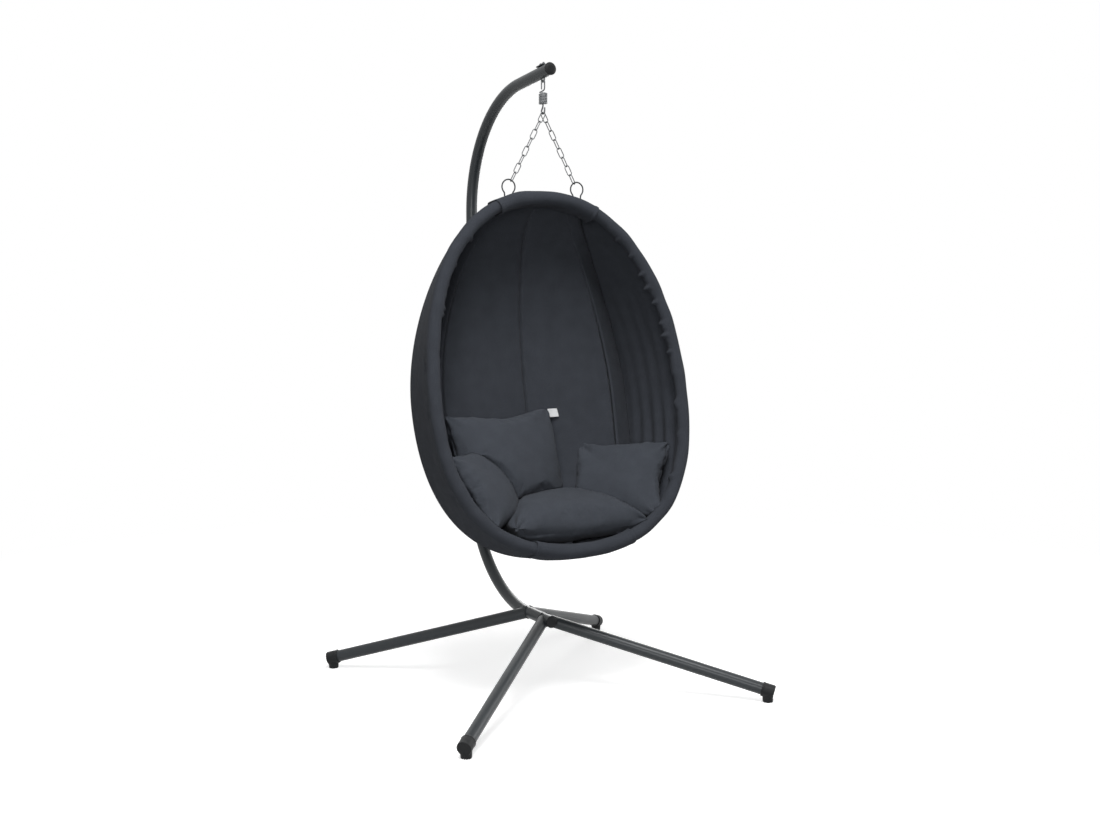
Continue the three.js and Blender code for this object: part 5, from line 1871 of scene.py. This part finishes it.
# In the order in which they were put in: name, node, size, fullness, the seam's drop, place and looks
cushions = [
    ("left_arm_pad", "left_arm_cushion", arm_size, cushion_crown_share, 0, arm_places[-1], *left_arm_looks),
    ("right_arm_pad", "right_arm_cushion", arm_size, cushion_crown_share, 0, arm_places[1], *right_arm_looks),
    ("seat_pad", "seat_cushion", seat_size, seat_crown_share, seat_seam_drop, seat_matrix, *seat_looks),
    ("back_pad", "back_cushion", rest_size, cushion_crown_share, 0, rest_matrix, *rest_looks),
]
works = [
    loose(name, start_shape(name, node, size, crown, drop, place))
    for name, node, size, crown, drop, place, *_ in cushions
]
starts = [coordinates(work.data) for work in works]
swell(works, [row[6] for row in cushions])
lining = faces_of([
    bpy.data.objects[f"{name}_{part}_cloth"].data for name in ("left", "right") for part in ("side", "back")
])
in_the_way = [bpy.data.objects[name].data for name in (
    "left_hoop_padding", "right_hoop_padding", "left_rib_cover", "right_rib_cover", "bottom_cuff_cloth",
)]
for work, start, (name, node, size, _, drop, place, _, *dressing) in zip(works, starts, cushions):
    mesh = work.data
    bpy.data.objects.remove(work)
    mesh.name = name
    dressed(mesh, start, size, drop, place, *dressing)
    solids = faces_of(in_the_way)
    for _ in range(2):
        eased(mesh, pushed_clear(mesh, lining, solids))
    pushed_clear(mesh, lining, solids)
    mesh.update()
    cloth_mapped(mesh, place)
    in_the_way.append(mesh)
    made = piece(mesh, cushion_cloth, "pod", [node], corner=None)
    finer = made.modifiers.new("finer", "SUBSURF")
    finer.levels = finer.render_levels = 1

# Blank label at the back cushion's upper right corner
label_across = np.linspace(0, 1, 25)[:, None]
label_up = np.linspace(0, 1, 15)[None, :]
ripple_across, ripple_up = label_ripple_turns
ripple = label_ripple * np.sin(label_up * ripple_up + label_across * ripple_across)
curl = label_curl * np.sin(label_across * label_curl_turn) + ripple
label_rows = np.stack(np.broadcast_arrays(
    rest_size[0] / 2 + fit_gap + label_width * label_across, curl,
    rest_size[1] / 2 - label_length * label_up,
), axis=-1)
label_turn = np.array(rest_matrix.to_3x3())
label_mesh = grid_mesh("blank_label", label_rows @ label_turn.T + np.array(rest_matrix.translation))
label = piece(label_mesh, ribbon, "pod", ["label"], corner=None)
thickened(label, label_thickness)


# Floor, light and camera
floor_reach = 60.0
floor_near = 1.5
floor_far = 3.4
floor_glow = 0.56
floor_lit_tone = 0.40
floor_seen_tone = 0.82
sky_light = 0.18
lamps = (
    ("key_lamp", (-0.9, -2.1, 5.4), (0, 0, 0.8), (2.2, 2.2), 215),
    ("front_lamp", (-2.8, -4.0, 1.6), (0, 0, 0.9), (1.8, 1.8), 78),
    ("right_lamp", (4.6, -1.0, 2.0), (0, 0, 0.8), (2.0, 2.4), 66),
    ("rear_lamp", (2.6, 4.2, 1.9), (0, 0, 1.0), (2.4, 2.0), 85),
)


def seen_directly(tree):
    """One where a ray comes from the camera, a gloss or glass, and zero where it is light on its way."""
    rays = add(tree, "ShaderNodeLightPath").outputs
    bent = maths(tree, "MAXIMUM", rays["Is Glossy Ray"], rays["Is Transmission Ray"])
    return maths(tree, "MAXIMUM", rays["Is Camera Ray"], bent)


def floor():
    """A pale floor that holds the shadow near the chair and is plain white far away."""
    mesh = bpy.data.meshes.new("floor")
    corners = [(-floor_reach, -floor_reach, 0), (floor_reach, -floor_reach, 0)]
    corners += [(floor_reach, floor_reach, 0), (-floor_reach, floor_reach, 0)]
    mesh.from_pydata(corners, [], [(0, 1, 2, 3)])
    made = loose("floor", mesh)
    look = bpy.data.materials.new("pale_floor")
    look.use_nodes = True
    tree = look.node_tree
    tree.nodes.clear()
    place = add(tree, "ShaderNodeTexCoord").outputs["Object"]
    away = add(tree, "ShaderNodeVectorMath", {0: place}, operation="LENGTH").outputs["Value"]
    far = add(tree, "ShaderNodeMapRange", {0: away, 1: floor_near, 2: floor_far}).outputs[0]
    seen = seen_directly(tree)
    tone = between(tree, seen, floor_lit_tone, floor_seen_tone)
    matt = add(tree, "ShaderNodeBsdfDiffuse", {"Color": tone})
    strength = maths(tree, "MULTIPLY", seen, floor_glow)
    glow = add(tree, "ShaderNodeEmission", {"Color": (1, 1, 1, 1), "Strength": strength})
    near_floor = add(tree, "ShaderNodeAddShader", {0: matt.outputs[0], 1: glow.outputs[0]})
    white = add(tree, "ShaderNodeEmission", {"Color": (1, 1, 1, 1), "Strength": seen})
    both = add(tree, "ShaderNodeMixShader", {0: far, 1: near_floor.outputs[0], 2: white.outputs[0]})
    out = tree.nodes.new("ShaderNodeOutputMaterial")
    tree.links.new(both.outputs[0], out.inputs[0])
    mesh.materials.append(look)


def surroundings():
    world = bpy.data.worlds.new("studio")
    bpy.context.scene.world = world
    world.use_nodes = True
    tree = world.node_tree
    tree.nodes.clear()
    strength = between(tree, seen_directly(tree), sky_light, 1.0)
    sky = add(tree, "ShaderNodeBackground", {"Color": (1, 1, 1, 1), "Strength": strength})
    out = tree.nodes.new("ShaderNodeOutputWorld")
    tree.links.new(sky.outputs[0], out.inputs[0])


def lamp(name, place, aim, size, power):
    light = bpy.data.lights.new(name, "AREA")
    light.shape = "RECTANGLE"
    light.size, light.size_y = size
    light.energy = power
    made = loose(name, light)
    made.location = place
    made.rotation_euler = (Vector(aim) - Vector(place)).to_track_quat("-Z", "Y").to_euler()


floor()
surroundings()
for name, place, aim, size, power in lamps:
    lamp(name, place, aim, size, power)

camera = bpy.data.cameras.new("camera")
camera.lens = camera_lens
camera.sensor_width = camera_sensor
camera_object = loose("camera", camera)
camera_object.location = (
    math.sin(camera_turn) * camera_distance, -math.cos(camera_turn) * camera_distance, camera_height,
)
heading = camera_turn + camera_yaw
forward = Vector((
    -math.sin(heading) * math.cos(camera_pitch), math.cos(heading) * math.cos(camera_pitch),
    -math.sin(camera_pitch),
))
camera_object.rotation_euler = forward.to_track_quat("-Z", "Y").to_euler()
bpy.context.scene.camera = camera_object
bpy.context.scene.view_settings.view_transform = "Standard"

bpy.context.view_layer.update()
